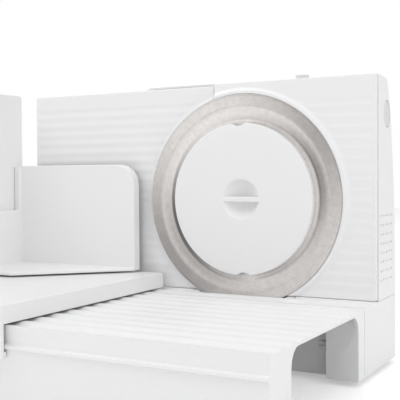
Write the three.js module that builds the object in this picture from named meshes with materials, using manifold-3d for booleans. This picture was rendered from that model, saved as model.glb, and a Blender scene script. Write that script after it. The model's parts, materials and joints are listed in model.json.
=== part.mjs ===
import * as THREE from 'three';
import { mergeVertices } from 'three/addons/utils/BufferGeometryUtils.js';
import Module from 'manifold-3d';

const wasm = await Module();
wasm.setup();

// A motor-driven food slicer. Millimetres; X runs along the blade, Y away from the user, Z up.
// Shapes are drawn around the centre of the blade's cutting plane. The whole machine is then moved
// so that the origin lies on the worktop, under its middle.

// Clearances: between parts, between moving faces, and in press fits
const GAP = 0.3;
const RUNNING = 0.15;
const PRESS = 0.05;

// Sides of round shapes, and steps in one wave of the ribs
const FINE = 60;
const MEDIUM = 32;
const ROUND = 20;
const COARSE = 10;
const SMALL = 8;
const WAVE_STEPS = 7;
const TURN = 2 * Math.PI;

// How far joined solids enter each other, how far cuts reach, and a depth in front of the machine
const OVERLAP = 1;
const THROUGH = 400;
const IN_FRONT = -5;
const WELD = 1e-4;

// Blade and its cover
const BLADE_RADIUS = 85;
const BLADE_BORE = 22.3;
const BLADE_SEAT = 4.5;
const BLADE_THICKNESS = 1.2;
const LAND_RADIUS = 76.5;
const COVER_RADIUS = 61.7;
const COVER_FRONT = -1.2;
const BOSS_RADIUS = 19.5;
const BOSS_BACK = 10;
const DIMPLE_RADIUS = 16.3;
const DIMPLE_DEPTH = 8.5;
const GRIP_HALF = 2.05;
const COVER_SHEET = 2.4;
const COVER_RIM = 2.2;
const COVER_CHAMFER = 0.8;
const BITE = { radius: 9.7, aside: 2.3, outside: 7.3 };
const LUGS = 3;
const LUG = { reach: 21.8, thickness: 1.4, width: 36, turn: 60 };
const ENTRY_WIDTH = 44;
const ENTRY_SPAN = [5.9, 8.4];
const PIN_CIRCLE = 26;
const PIN_RADIUS = 2;
const PIN_TURN = 30;

// Sections of the blade as (radius, depth): its ground front, and its back
const BLADE_FRONT = [[64, BLADE_SEAT], [70, 2.6], [LAND_RADIUS, 1.4], [BLADE_RADIUS, 0]];
const BLADE_REAR = [[78.5, 1.9], [70.8, 4.6], [64.6, BLADE_SEAT + BLADE_THICKNESS]];

// Housing behind the blade
const PANEL_LEFT = -25;
const PANEL_RIGHT = 111.9;
const PANEL_TOP = 94.5;
const PANEL_FRONT = 2;
const PANEL_BACK = 5;
const PLASTIC = 2.5;
const PANEL_CORNERS = [0, 2, 3, 0];
const PANEL_BORDER = 2.2;
const RIB_PITCH = 8.05;
const RIB_DEPTH = 0.5;
const RIB_CREST = 0.5;
const RIB_SPAN = [RIB_CREST - 9 * RIB_PITCH, RIB_CREST + 10 * RIB_PITCH];
const GUARD_BORE = 85.5;
const GUARD_RIM = 90.5;
const GUARD_EDGE = 0.4;
const GUARD_CREST = 2;
const CUP_BACK = 11.8;
const APRON_RADIUS = 78;
const DRUM_RADIUS = 70;
const HUB_HOLE = 34;
const BRIDGE_LEFT = -105;
const BRIDGE_FRONT = 21.2;
const BRIDGE_RIGHT = PANEL_LEFT + 1;
const BRIDGE_CHAMFER = [5, 3];
const HOUSING_BACK = 70;

// Outline of the housing's back as (height, depth), of its crown and of the bridge as (depth, height)
const REAR_CURVE = [
  [-75.7, 50], [-17, 48], [15, 44.8], [38, 41.2], [60, 37.8], [77, 33], [90, 28.2],
];
const CROWN = [[26, 92.6], [20, 93.3], [12, 93.9]];
const BRIDGE = [
  [24, 80], [31.5, 80], [27.5, 90], [26, 94.6], [25, 96.5], [23.2, 97], [BRIDGE_FRONT, 96.9],
  [BRIDGE_FRONT, 95.5], [24, 95.5],
];

// Vents and buttons
const VENT_ROWS = 8;
const VENT_COLUMNS = 5;
const VENT_PITCH = 7;
const VENT_CORNER = [11, -61];
const VENT_RADIUS = 1;
const BUTTON_CENTRE = [26.4, 66];
const BUTTON_HALF = [8.2, 10.2];
const BUTTON_BACK = PANEL_RIGHT - 5.2;
const BUTTON_CHAMFER = 0.6;
const BUTTON_EARS = { thickness: 2.2, front: 3, back: 2.5, half: 11.4 };
const BUTTON_STEM = { radius: 3, end: 96 };
const SAFETY_CENTRE = [47.8, 13];
const SAFETY_SIZE = [10.5, 6];
const SAFETY_CORNERS = [2, 2, 2, 2];
const SAFETY_TOP = 98.2;
const SAFETY_BOTTOM = 88;
const SAFETY_FLANGE = { wide: 1.6, low: 87.8, high: 90.3 };
const SAFETY_STEM = { half: 2, front: 0.2, back: 3.6, end: 78 };
const SAFETY_TUNNEL = 8;
const POWER_BOX = { left: 82, right: 101, front: 10, back: 2.5, half: 8, well: 90 };
const SAFETY_BOX = { half: 8, back: 8, low: 66, high: 82, well: 74 };

// Base and table
const TABLE_TOP = -76;
const FOOT_PLANE = -126;
const FLOOR = -130;
const BASE_LEFT = -232;
const BASE_RIGHT = PANEL_RIGHT;
const BASE_BACK = 50.3;
const TABLE_FRONT = -195;
const TABLE_BACK = -30.1;
const FOOT_FRONT = -29.5;
const TABLE_RIB_PITCH = 16.75;
const TABLE_RIB_DEPTH = 1.6;
const TABLE_RIB_CREST = -10.5;
const FOOT_RIBS_END = 1.5;
const TABLE_SKIN = -79.2;
const FOOT_SKIN = -80;
const ARCH = { front: -165, back: -43.5, top: -78.8, corner: 12 };
const CORNER_BOX = 24;
const RAIL_Z = -90;
const RAIL_REACH = 2;
const BLADE_SLOT = { half: 46, front: -1.3, back: 12.2 };
const COVER_SLOTS = { x: [20, 32, 44, 56], width: 3, length: 35 };
const BOTTOM_SHEET = 2;
const TABLE_SCREWS = [-200, 82];
const TABLE_SCREW_Z = -104;
const GLAND_CENTRE = [78, 0, -108];
const GLAND_NECK = 5;
const GLAND_BORE = 3.4;
const GLAND = { inside: 6, outside: 4, flange: 7, collar: 7.5, tip: 6 };
const FEET = { x: [-214, 96], front: -181, back: 40, radius: 9, tread: 7.5, chamfer: 2 };

// Stop plate and the drive that moves it
const STOP_LEFT = -214.7;
const STOP_RIGHT = -26.6;
const STOP_TOP = 93.1;
const STOP_BOTTOM = -75;
const STOP_FRONT = 4;
const STOP_DEPTH = 5;
const STOP_ARC = 87;
const STOP_RIM = 4.5;
const STOP_CORNERS = [2, 0, 1, 3];
const STOP_EDGE = 2;
const SOCKET = { half: 11, low: -70, high: 20 };
const DRIVE_X = -140;
const DRIVE_Z = -103;
const DRUM_LEAD = 18;
const DRUM_BAR = 9;
const DRUM_GROOVE = 6.4;
const DRUM_SHAFT = 4;
const GROOVE_HALF_ANGLE = 46;
const ROD_RADIUS = 3;
const ROD_SPREAD = 26;
const ROD_PLACES = [DRIVE_X - ROD_SPREAD, DRIVE_X + ROD_SPREAD];
const CARRIER_FRONT = 12;
const CARRIER_BACK = 24;
const CARRIER_MIDDLE = (CARRIER_FRONT + CARRIER_BACK) / 2;
const CARRIER_SLOT = { half: 13, front: 4.6, back: 37 };
const CARRIER_UPRIGHT = { half: 10, low: -92, high: 18 };
const CARRIER_BODY = { half: ROD_SPREAD + 7, low: DRIVE_Z - 14, high: DRIVE_Z + 15 };
const CARRIER_PIN = { radius: 1.9, tip: DRUM_GROOVE + 0.4, root: DRUM_BAR + 3 };
const DRUM_SPAN = [-13, 15];
const DRUM_STEPS = { bar: 13, groove: 4, turn: 14 };
const DRUM_NOSE = { radius: 3, end: -18 };

// Carriage and residue holder
const TRAY_LEFT = -234;
const TRAY_RIGHT = -73;
const TRAY_BACK = -2.3;
const TRAY_TOP = -63;
const TRAY_BOTTOM = -75.2;
const TRAY_GRID = { columns: 6, rows: 7, front: TABLE_FRONT + 1.5 };
const LIP = { thickness: 3.2, low: -97, high: -93, end: TABLE_FRONT - 0.8 };
const LIP_FRONT = -201;
const WALL_FACE = -226.5;
const WALL_OUTER = -230;
const WALL_TOP = 94.5;
const WALL_CORNERS = [0, 0, 3, 20];
const WALL_SOLE = 3;
const SLOT_Y = [-182, -7];
const SLOT_Z = [-34, -26];
const SLIDE_Y = -14.5;
const HOLDER_LEFT = -226.2;
const HOLDER_RIGHT = -96;
const HOLDER_TOP = 29.3;
const HOLDER_FRONT = -12;
const HOLDER_BACK = -3;
const HOLDER_REACH = -85;
const HOLDER_LIFT = 1.4;
const HOLDER_CORNER = 17;
const HOLDER_SKIN = 2;
const HOLDER_WALL = 6.2;
const HOLDER_STEP = -11;
const GRIP_LENGTH = 12;
const KEY_HALF = 5;

// Section of the slide's grip as (radius, distance outside the wall)
const GRIP_PROFILE = [[10, GRIP_LENGTH], [12, 10], [9, 4]];
const GRIP_FOOT = 11;

// Knob, and the point on the worktop under the machine's middle
const KNOB_SEAT = BASE_BACK + 0.5;
const KNOB_LENGTH = 16;
const POINTER_RISE = 1.2;
const POINTER = { half: 1, from: 3, to: 14 };
const KNOB_ROOF = 4;
const KNOB_PLAY = 1.5;
const FLUTES = { count: 16, radius: 1.8, circle: 16.6, start: 7 };
const MIDDLE_X = (WALL_OUTER - GRIP_LENGTH + BASE_RIGHT) / 2;
const MIDDLE_Y = (LIP_FRONT + KNOB_SEAT + KNOB_LENGTH + POINTER_RISE) / 2;

// Outer section of the knob as (radius, distance behind the foot)
const KNOB_PROFILE = [[17, 0], [18, 1], [18, 5], [16, 6], [15, KNOB_LENGTH]];

// Gear train: a single-start worm on the motor shaft turns a wheel on the blade's hub
const GEAR_MODULE = 1.5;
const WHEEL_TEETH = 48;
const WHEEL_RADIUS = GEAR_MODULE * WHEEL_TEETH / 2;
const WORM_RADIUS = 6;
const SHAFT_Y = 28.6;
const SHAFT_Z = -(WHEEL_RADIUS + WORM_RADIUS);
const SHAFT_RADIUS = 2.5;
const SPINDLE_RADIUS = 5;
const FRAME_FRONT = 33.5;
const FRAME_BACK = 36.5;
const WORM_HALF = 14;
const WORM_THREAD = { crest: [-140, -107, -73, -40], floor: [15, 50, 90, 130, 165], steps: 12 };
const HUB_END = 32;
const WHEEL_FACE = [SHAFT_Y - 3.6, SHAFT_Y + 3.4];
const MOTOR_RADIUS = 15;
const STATOR = [62, 88];
const POLE_WINDOW = { y: [5, 9.2], z: [6, 11.4], bore: 10.2 };
const ARMATURE = { span: [64, 86], radius: 9.6, slots: 10, slotRadius: 1.1, slotCircle: 8.9 };
const COMMUTATOR = { radius: 5.5, span: [50, 58], bars: 12, slit: [20, 1.2, 0.4] };
const FAN = { span: [97, 102], hub: 5, disc: 12.5, sheet: 1.2, vanes: 8, vane: [4.4, 8.4, 1] };
const BRUSH_END = { span: [46, 49], hole: 4.5, arms: [48, 57], armHalf: 3, arm: [12, 14] };
const BRUSH = { span: [51.5, 56.5], half: 2, reach: [5.8, 11.8] };
const FAN_END = { span: [91, 94], hole: 5.1 };
const BEARINGS = {
  shaft_bearing_left: { span: [-25, -18], radius: 4.9 },
  shaft_bearing_right: { span: [18, 25], radius: 4.9 },
  shaft_bearing_fan: { span: [90.5, 94.5], radius: 5 },
};
const SHAFT_SPAN = [-26, 103];
const COLLAR = { radius: 3.6, span: [13.9, 16.5] };
const CRADLE = { x: [66, 84], y: [18, 39], top: SHAFT_Z - 6 };
const SPINDLE_FRONT = 11;
const CLIP = { radius: 8, span: [11.6, 12.7] };

// Plan of the gear frame as (x, z), and its bearing blocks
const GEAR_FRAME = [
  [-50, 14], [-43, -34], [-36, -39], [-28, -39], [-28, -54], [-17, -54], [-17, -31.5],
  [17, -31.5], [17, -54], [28, -54], [28, -39], [36, -39], [43, -34], [50, 14], [50, 26],
  [38, 30], [-38, 30], [-50, 26],
];
const FRAME_BOSS = { radius: 9, height: 4 };
const BEARING_BLOCK = { x: [18, 25], front: 20, z: [-53, -34.5], bore: 5 };

// Section of the drive wheel's hub as (radius, depth)
const HUB_PROFILE = [
  [SPINDLE_RADIUS + RUNNING, 13], [20.5, 13], [20.5, 10.4], [BLADE_BORE, 10.4], [BLADE_BORE, 8.3],
  [20.5, 8.3], [20.5, 6], [30, 6], [30, 8.6], [25, 8.6], [25, 15.5], [12, 15.5], [12, 27],
  [32, 27], [32, 30], [12, 30], [12, HUB_END], [SPINDLE_RADIUS + RUNNING, HUB_END],
];
const RIM_BORE = 31;
const TOOTH = { root: 1.9, tip: 1.3, rootHalf: 0.3, tipHalf: 0.14 };

// Posts and screws as (x, z)
const FRAME_POST_RADIUS = 48;
const FRAME_POSTS = [25, 155, 222, 318].map((degrees) => {
  const angle = THREE.MathUtils.degToRad(degrees);
  return [FRAME_POST_RADIUS * Math.cos(angle), FRAME_POST_RADIUS * Math.sin(angle)];
});
const COVER_POSTS = [[98, 25], [98, -66], [-48, 34], [-5, -62]];
const SCREW_RADIUS = 1.4;
const SCREW_HOLE = 1.7;
const PILOT_RADIUS = 1.5;
const POST_RADIUS = 4.5;
const WELL_RADIUS = 5.5;
const HEAD_RADIUS = 3.2;
const HEAD_HEIGHT = 2.2;
const SCREW_LENGTH = 12;
const TABLE_SCREW_LENGTH = 7;
const SCREW_SLOT = { half: 0.5, floor: 1.4 };
const HEAD_CLEARANCE = 0.4;

// Finishes

const finish = (color, roughness, metalness = 0) =>
  new THREE.MeshStandardMaterial({ color, roughness, metalness });

const whitePlastic = finish(0xe9e9e9, 0.42);
const greyPlastic = finish(0xc9cbcc, 0.5);
const gearPlastic = finish(0xe6e2d2, 0.55);
const darkPlastic = finish(0x3a3c40, 0.6);
const rubber = finish(0x1f2022, 0.85);
const bladeSteel = finish(0xb9b6b2, 0.28, 1);
const zincSteel = finish(0xa9acb0, 0.4, 1);
const laminations = finish(0x6c6e72, 0.6, 0.8);
const copper = finish(0xb06a3c, 0.35, 1);
const bronze = finish(0x9c7a45, 0.5, 0.9);
const carbon = finish(0x2c2c2e, 0.8);

// Solids

// A closed geometry as a solid that can be joined and cut, without its flat triangles.
function solidOf(geometry) {
  const bare = geometry.clone();
  bare.deleteAttribute('normal');
  bare.deleteAttribute('uv');
  const merged = mergeVertices(bare, WELD);
  const corners = merged.index.array;
  const triangles = [];
  for (let start = 0; start < corners.length; start += 3) {
    const [a, b, c] = corners.slice(start, start + 3);
    if (a !== b && b !== c && c !== a) triangles.push(a, b, c);
  }
  return new wasm.Manifold(new wasm.Mesh({
    numProp: 3,
    vertProperties: new Float32Array(merged.attributes.position.array),
    triVerts: new Uint32Array(triangles),
  }));
}

function geometryOf(solid) {
  const mesh = solid.getMesh();
  const geometry = new THREE.BufferGeometry();
  geometry.setAttribute('position', new THREE.BufferAttribute(mesh.vertProperties, 3));
  geometry.setIndex(new THREE.BufferAttribute(mesh.triVerts, 1));
  geometry.computeVertexNormals();
  return geometry;
}

// For each axis: the outline's two directions, then the direction it is carried along.
const FRAMES = {
  x: [[0, 1, 0], [0, 0, 1], [1, 0, 0]],
  y: [[0, 0, 1], [1, 0, 0], [0, 1, 0]],
  z: [[1, 0, 0], [0, 1, 0], [0, 0, 1]],
};

function turnedTo(axis, geometry) {
  const [u, v, w] = FRAMES[axis].map((direction) => new THREE.Vector3(...direction));
  return geometry.applyMatrix4(new THREE.Matrix4().makeBasis(u, v, w));
}

// An outline carried along an axis: (y, z) points along x, (z, x) along y, (x, y) along z.
function prism(axis, outline, [from, to]) {
  const shape = new THREE.Shape(outline.map(([u, v]) => new THREE.Vector2(u, v)));
  const geometry = new THREE.ExtrudeGeometry(shape, { depth: to - from, bevelEnabled: false });
  geometry.translate(0, 0, from);
  return solidOf(turnedTo(axis, geometry));
}

// An outline of (x, z) points, as seen from the front, carried from one depth to another.
const frontPrism = (points, span) => prism('y', points.map(([x, z]) => [z, x]), span);

function block([x0, x1], [y0, y1], [z0, z1]) {
  const geometry = new THREE.BoxGeometry(x1 - x0, y1 - y0, z1 - z0);
  geometry.translate((x0 + x1) / 2, (y0 + y1) / 2, (z0 + z1) / 2);
  return solidOf(geometry);
}

// A profile of (radius, height) points turned about an axis. It runs anticlockwise, and it
// closes on itself where it doesn't start and end on the axis.
function turned(axis, profile, segments = ROUND, centre = [0, 0, 0]) {
  const points = profile.map(([radius, height]) => new THREE.Vector2(radius, height));
  if (points[0].x > 0) points.push(points[0].clone());
  const geometry = new THREE.LatheGeometry(points, segments);
  geometry.rotateX(Math.PI / 2);
  turnedTo(axis, geometry).translate(...centre);
  return solidOf(geometry);
}

const disc = (axis, radius, [from, to], segments, centre) =>
  turned(axis, [[0, from], [radius, from], [radius, to], [0, to]], segments, centre);

const ring = (axis, inner, outer, [from, to], segments, centre) =>
  turned(axis, [[inner, from], [outer, from], [outer, to], [inner, to]], segments, centre);

const joined = (...solids) => solids.reduce((whole, solid) => whole.add(solid));
const cut = (body, ...tools) => tools.reduce((left, tool) => left.subtract(tool), body);

// A rectangle whose corners are rounded by four radii, from the low corner anticlockwise.
function roundedOutline([u0, u1], [v0, v1], radii, steps = 4) {
  const corners = [[u0, v0, 1, 1], [u1, v0, -1, 1], [u1, v1, -1, -1], [u0, v1, 1, -1]];
  return corners.flatMap(([u, v, inwardU, inwardV], index) => {
    const radius = radii[index];
    if (radius === 0) return [[u, v]];
    return Array.from({ length: steps + 1 }, (_, step) => {
      const angle = Math.PI + (index + step / steps) * Math.PI / 2;
      return [
        u + radius * (inwardU + Math.cos(angle)),
        v + radius * (inwardV + Math.sin(angle)),
      ];
    });
  });
}

// Points of a soft wave: (position, distance behind the crests).
function wave([from, to], pitch, depth, crest) {
  const count = Math.ceil(WAVE_STEPS * (to - from) / pitch);
  return Array.from({ length: count + 1 }, (_, step) => {
    const position = from + (to - from) * step / count;
    return [position, depth * (1 - Math.cos(TURN * (position - crest) / pitch)) / 2];
  });
}

// The space in front of a plate with soft horizontal ribs, whose crests touch the face.
function ribCutter(spanX, face) {
  const ribs = wave(RIB_SPAN, RIB_PITCH, RIB_DEPTH, RIB_CREST).map(([z, drop]) => [face + drop, z]);
  return prism('x', [[face - 1, RIB_SPAN[0]], ...ribs, [face - 1, RIB_SPAN[1]]], spanX);
}

// Points of an outline given in polar form: (degrees, radius).
function polarOutline(entries) {
  return entries.map(([degrees, radius]) => {
    const angle = THREE.MathUtils.degToRad(degrees);
    return [radius * Math.cos(angle), radius * Math.sin(angle)];
  });
}

// A pair of limits, or its mirror image with the lower limit first.
const mirrored = ([near, far], side) => (side > 0 ? [near, far] : [-far, -near]);

// A piece of a ring around the Y axis, between two angles in degrees.
function sector(inner, outer, span, [from, to]) {
  const steps = [0, 0.25, 0.5, 0.75, 1].map((share) => from + share * (to - from));
  const outline = polarOutline([
    ...steps.map((angle) => [angle, outer]),
    ...steps.reverse().map((angle) => [angle, inner]),
  ]);
  return prism('y', outline, span);
}

// A bar along Z whose outline turns as it rises: a screw thread or a spiral groove.
function twistedBar(outline, [from, to], lead, stepsPerTurn) {
  const layers = Math.ceil(stepsPerTurn * (to - from) / lead);
  const count = outline.length;
  const positions = [];
  for (let layer = 0; layer <= layers; layer += 1) {
    const height = from + (to - from) * layer / layers;
    const angle = TURN * height / lead;
    for (const [u, v] of outline) {
      positions.push(u * Math.cos(angle) - v * Math.sin(angle));
      positions.push(u * Math.sin(angle) + v * Math.cos(angle));
      positions.push(height);
    }
  }
  const flat = outline.map(([u, v]) => new THREE.Vector2(u, v));
  const top = layers * count;
  const index = [];
  for (const [a, b, c] of THREE.ShapeUtils.triangulateShape(flat, [])) {
    index.push(c, b, a, top + a, top + b, top + c);
  }
  for (let low = 0; low < top; low += count) {
    for (let point = 0; point < count; point += 1) {
      const next = (point + 1) % count;
      const high = low + count;
      index.push(low + point, low + next, high + next);
      index.push(low + point, high + next, high + point);
    }
  }
  const geometry = new THREE.BufferGeometry();
  geometry.setAttribute('position', new THREE.BufferAttribute(new Float32Array(positions), 3));
  geometry.setIndex(index);
  return geometry;
}

// Scene graph

const slicer = new THREE.Group();
slicer.position.set(-MIDDLE_X, -MIDDLE_Y, -FLOOR);

function assembly(...position) {
  const group = new THREE.Group();
  group.position.set(...position);
  slicer.add(group);
  return group;
}

function place(parent, name, solid, material, position = [0, 0, 0], turn = [0, 0, 0]) {
  const mesh = new THREE.Mesh(geometryOf(solid), material);
  mesh.name = name;
  mesh.position.set(...position);
  mesh.rotation.set(...turn);
  parent.add(mesh);
}

// Housing

const PANEL_BOTTOM = TABLE_TOP + GAP;
const BACK_LIP = REAR_CURVE.at(-1)[0] - GAP;

// Ribbed plate with the blade's guard ring, a shallow cup behind the blade and screw posts
function frontPanel() {
  const height = [PANEL_BOTTOM, PANEL_TOP];
  const outline = roundedOutline([PANEL_LEFT, PANEL_RIGHT], height, PANEL_CORNERS);
  const plate = frontPrism(outline, [PANEL_FRONT, PANEL_BACK]);
  const aroundGuard = disc('y', GUARD_RIM + GAP, [0, PANEL_BACK], FINE);
  const ribs = ribCutter([PANEL_LEFT - OVERLAP, PANEL_RIGHT - PANEL_BORDER], PANEL_FRONT);
  const guard = turned('y', [
    [GUARD_BORE - OVERLAP, GUARD_EDGE + OVERLAP], [GUARD_BORE, GUARD_EDGE],
    [GUARD_BORE + GUARD_CREST, GUARD_EDGE], [GUARD_RIM, PANEL_FRONT], [GUARD_RIM, PANEL_BACK],
    [GUARD_BORE - OVERLAP, PANEL_BACK],
  ], FINE);
  const cup = disc('y', GUARD_BORE + PLASTIC, [PANEL_BACK - OVERLAP, CUP_BACK], FINE);
  const cornerSpace = block([PANEL_LEFT, PANEL_RIGHT], [IN_FRONT, HOUSING_BACK], height);
  const well = disc('y', GUARD_BORE, [IN_FRONT, CUP_BACK - PLASTIC], FINE);
  const apron = disc('y', APRON_RADIUS, [CUP_BACK - PLASTIC, CUP_BACK], FINE);
  const framePosts = FRAME_POSTS.map(([x, z]) => [x, z, FRAME_FRONT]);
  const coverPosts = COVER_POSTS.map(([x, z]) => [x, z, FRAME_BACK]);
  const posts = [...framePosts, ...coverPosts].map(([x, z, back]) => {
    const sheetBack = Math.hypot(x, z) < GUARD_BORE ? CUP_BACK : PANEL_BACK;
    return ring('y', PILOT_RADIUS, POST_RADIUS, [sheetBack - OVERLAP, back], COARSE, [x, 0, z]);
  });
  const rimmed = cut(plate, ribs.subtract(aroundGuard))
    .add(guard.add(cup).intersect(cornerSpace))
    .subtract(well);
  const underTable = block([-THROUGH, THROUGH], [IN_FRONT, HOUSING_BACK], [-THROUGH, PANEL_BOTTOM]);
  return cut(joined(rimmed, apron, ...posts), disc('y', HUB_HOLE, [0, HOUSING_BACK]), underTable);
}

const rearOutline = (inset) => [
  [IN_FRONT, PANEL_BOTTOM],
  ...REAR_CURVE.map(([z, y]) => [y - inset, z]),
  ...CROWN.map(([y, z]) => [y, z - inset]),
  [PANEL_BACK, PANEL_TOP - inset],
  [IN_FRONT, PANEL_TOP - inset],
];

// The housing as seen from the front: a square corner and the round drum, both inset.
function housingPlan(inset, drumFront) {
  const corner = frontPrism([
    [PANEL_LEFT + inset, PANEL_BOTTOM + inset], [PANEL_RIGHT - inset, PANEL_BOTTOM + inset],
    [PANEL_RIGHT - inset, THROUGH], [PANEL_LEFT + inset, THROUGH],
  ], [PANEL_BACK + GAP, HOUSING_BACK]);
  return corner.add(disc('y', DRUM_RADIUS - inset, [drumFront, HOUSING_BACK], FINE));
}

// The span of a cut through the side wall, with room for the button's travel
const SIDE_WALL = [PANEL_RIGHT - 9, PANEL_RIGHT + OVERLAP];

// The power button's upright oval, widened all round
function buttonOval(extra, span) {
  const [y, z] = BUTTON_CENTRE;
  const [halfWidth, halfHeight] = BUTTON_HALF.map((half) => half + extra);
  const outline = Array.from({ length: MEDIUM }, (_, step) => {
    const angle = TURN * step / MEDIUM;
    return [y + halfWidth * Math.cos(angle), z + halfHeight * Math.sin(angle)];
  });
  return prism('x', outline, span);
}

function vents() {
  const holes = [];
  for (let row = 0; row < VENT_ROWS; row += 1) {
    for (let column = 0; column < VENT_COLUMNS; column += 1) {
      const y = VENT_CORNER[0] + column * VENT_PITCH;
      const z = VENT_CORNER[1] + row * VENT_PITCH;
      holes.push(disc('x', VENT_RADIUS, SIDE_WALL, COARSE, [0, y, z]));
    }
  }
  return holes;
}

// Side wall, crown, drum and the thin bridge behind the stop plate, open at its front and back
function housingBody() {
  const profile = prism('x', rearOutline(0), [BRIDGE_LEFT, PANEL_RIGHT]);
  const hollow = prism('x', [
    [IN_FRONT, -THROUGH], [HOUSING_BACK, -THROUGH], [HOUSING_BACK, BACK_LIP],
    [REAR_CURVE.at(-1)[1] - PLASTIC, BACK_LIP],
    ...CROWN.map(([y, z]) => [y - OVERLAP, z - PLASTIC]), [PANEL_BACK, PANEL_TOP - PLASTIC],
    [IN_FRONT, PANEL_TOP - PLASTIC],
  ], [-THROUGH, THROUGH]);
  const bridgePlan = [
    [BRIDGE_RIGHT, BRIDGE_FRONT], [BRIDGE_RIGHT, HOUSING_BACK], [BRIDGE_LEFT, HOUSING_BACK],
    [BRIDGE_LEFT, BRIDGE_FRONT + BRIDGE_CHAMFER[1]], [BRIDGE_LEFT + BRIDGE_CHAMFER[0], BRIDGE_FRONT],
  ];
  const bridge = prism('x', BRIDGE, [BRIDGE_LEFT, BRIDGE_RIGHT])
    .intersect(prism('z', bridgePlan, [0, THROUGH]));
  const shell = cut(
    housingPlan(0, CUP_BACK + GAP).intersect(profile),
    housingPlan(PLASTIC, 0).intersect(hollow),
  );
  const [x, y] = SAFETY_CENTRE;
  const [width, depth] = SAFETY_SIZE.map((size) => size / 2 + GAP);
  return cut(
    shell.add(bridge),
    disc('y', GUARD_BORE + PLASTIC + GAP, [0, CUP_BACK + GAP], FINE),
    buttonOval(GAP, SIDE_WALL),
    block([x - width, x + width], [y - depth, y + depth], [PANEL_TOP - SAFETY_TUNNEL, THROUGH]),
    ...vents(),
  );
}

// Curved back cover that closes the housing between its walls, with sunk screw holes
function rearCover() {
  const sheet = [
    ...REAR_CURVE.map(([z, y]) => [y, z]),
    ...REAR_CURVE.map(([z, y]) => [y - PLASTIC, z]).reverse(),
  ];
  const low = PANEL_BOTTOM + PLASTIC + GAP;
  const between = block([-THROUGH, THROUGH], [0, HOUSING_BACK], [low, BACK_LIP - GAP]);
  const plan = housingPlan(PLASTIC + GAP, 0);
  const profile = prism('x', rearOutline(0), [-THROUGH, THROUGH]);
  const wells = COVER_POSTS.map(([x, z]) => {
    const well = disc('y', WELL_RADIUS, [FRAME_BACK + GAP, HOUSING_BACK], COARSE, [x, 0, z]);
    return well.intersect(profile);
  });
  const holes = COVER_POSTS.map(([x, z]) => {
    const sunk = [FRAME_BACK + PLASTIC, HOUSING_BACK];
    return joined(
      disc('y', HEAD_RADIUS + HEAD_CLEARANCE, sunk, COARSE, [x, 0, z]),
      disc('y', SCREW_HOLE, [0, HOUSING_BACK], COARSE, [x, 0, z]),
    );
  });
  const cover = joined(prism('x', sheet, [-THROUGH, THROUGH]), ...wells);
  return cut(cover.intersect(plan).intersect(between), ...holes, buttonOval(GAP, SIDE_WALL));
}

// Base

function tableRibs(span) {
  const ribs = wave(span, TABLE_RIB_PITCH, TABLE_RIB_DEPTH, TABLE_RIB_CREST);
  return ribs.map(([y, drop]) => [y, TABLE_TOP - drop]);
}

// Hollow foot under the housing, ribbed in front, with slots for the blade and the stop plate
function footHousing() {
  const side = [
    [FOOT_FRONT, FOOT_PLANE], ...tableRibs([FOOT_FRONT, FOOT_RIBS_END]),
    [FOOT_RIBS_END + GAP, TABLE_TOP], [BASE_BACK, TABLE_TOP], [BASE_BACK, FOOT_PLANE],
  ];
  const outer = prism('x', side, [BASE_LEFT, BASE_RIGHT]);
  const hollow = block(
    [BASE_LEFT + PLASTIC, BASE_RIGHT - PLASTIC],
    [FOOT_FRONT + PLASTIC, BASE_BACK - PLASTIC],
    [-THROUGH, FOOT_SKIN],
  );
  const upright = [-THROUGH, THROUGH];
  const slotX = [-BLADE_SLOT.half, BLADE_SLOT.half];
  const bladeSlot = block(slotX, [BLADE_SLOT.front, BLADE_SLOT.back], upright);
  const carrierSlot = block(
    [DRIVE_X - CARRIER_SLOT.half, DRIVE_X + CARRIER_SLOT.half],
    [CARRIER_SLOT.front, CARRIER_SLOT.back],
    upright,
  );
  const rods = ROD_PLACES.map((x) =>
    disc('y', ROD_RADIUS + PRESS, [-THROUGH, THROUGH], ROUND, [x, 0, DRIVE_Z]));
  const knobHole = disc('y', DRUM_SHAFT + GAP, [0, THROUGH], ROUND, [DRIVE_X, 0, DRIVE_Z]);
  const glandHole = disc('y', GLAND_NECK + GAP, [0, THROUGH], ROUND, GLAND_CENTRE);
  const joints = TABLE_SCREWS.map((x) =>
    disc('y', PILOT_RADIUS, [-THROUGH, 0], COARSE, [x, 0, TABLE_SCREW_Z]));
  return cut(outer, hollow, bladeSlot, carrierSlot, ...rods, knobHole, glandHole, ...joints);
}

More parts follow.
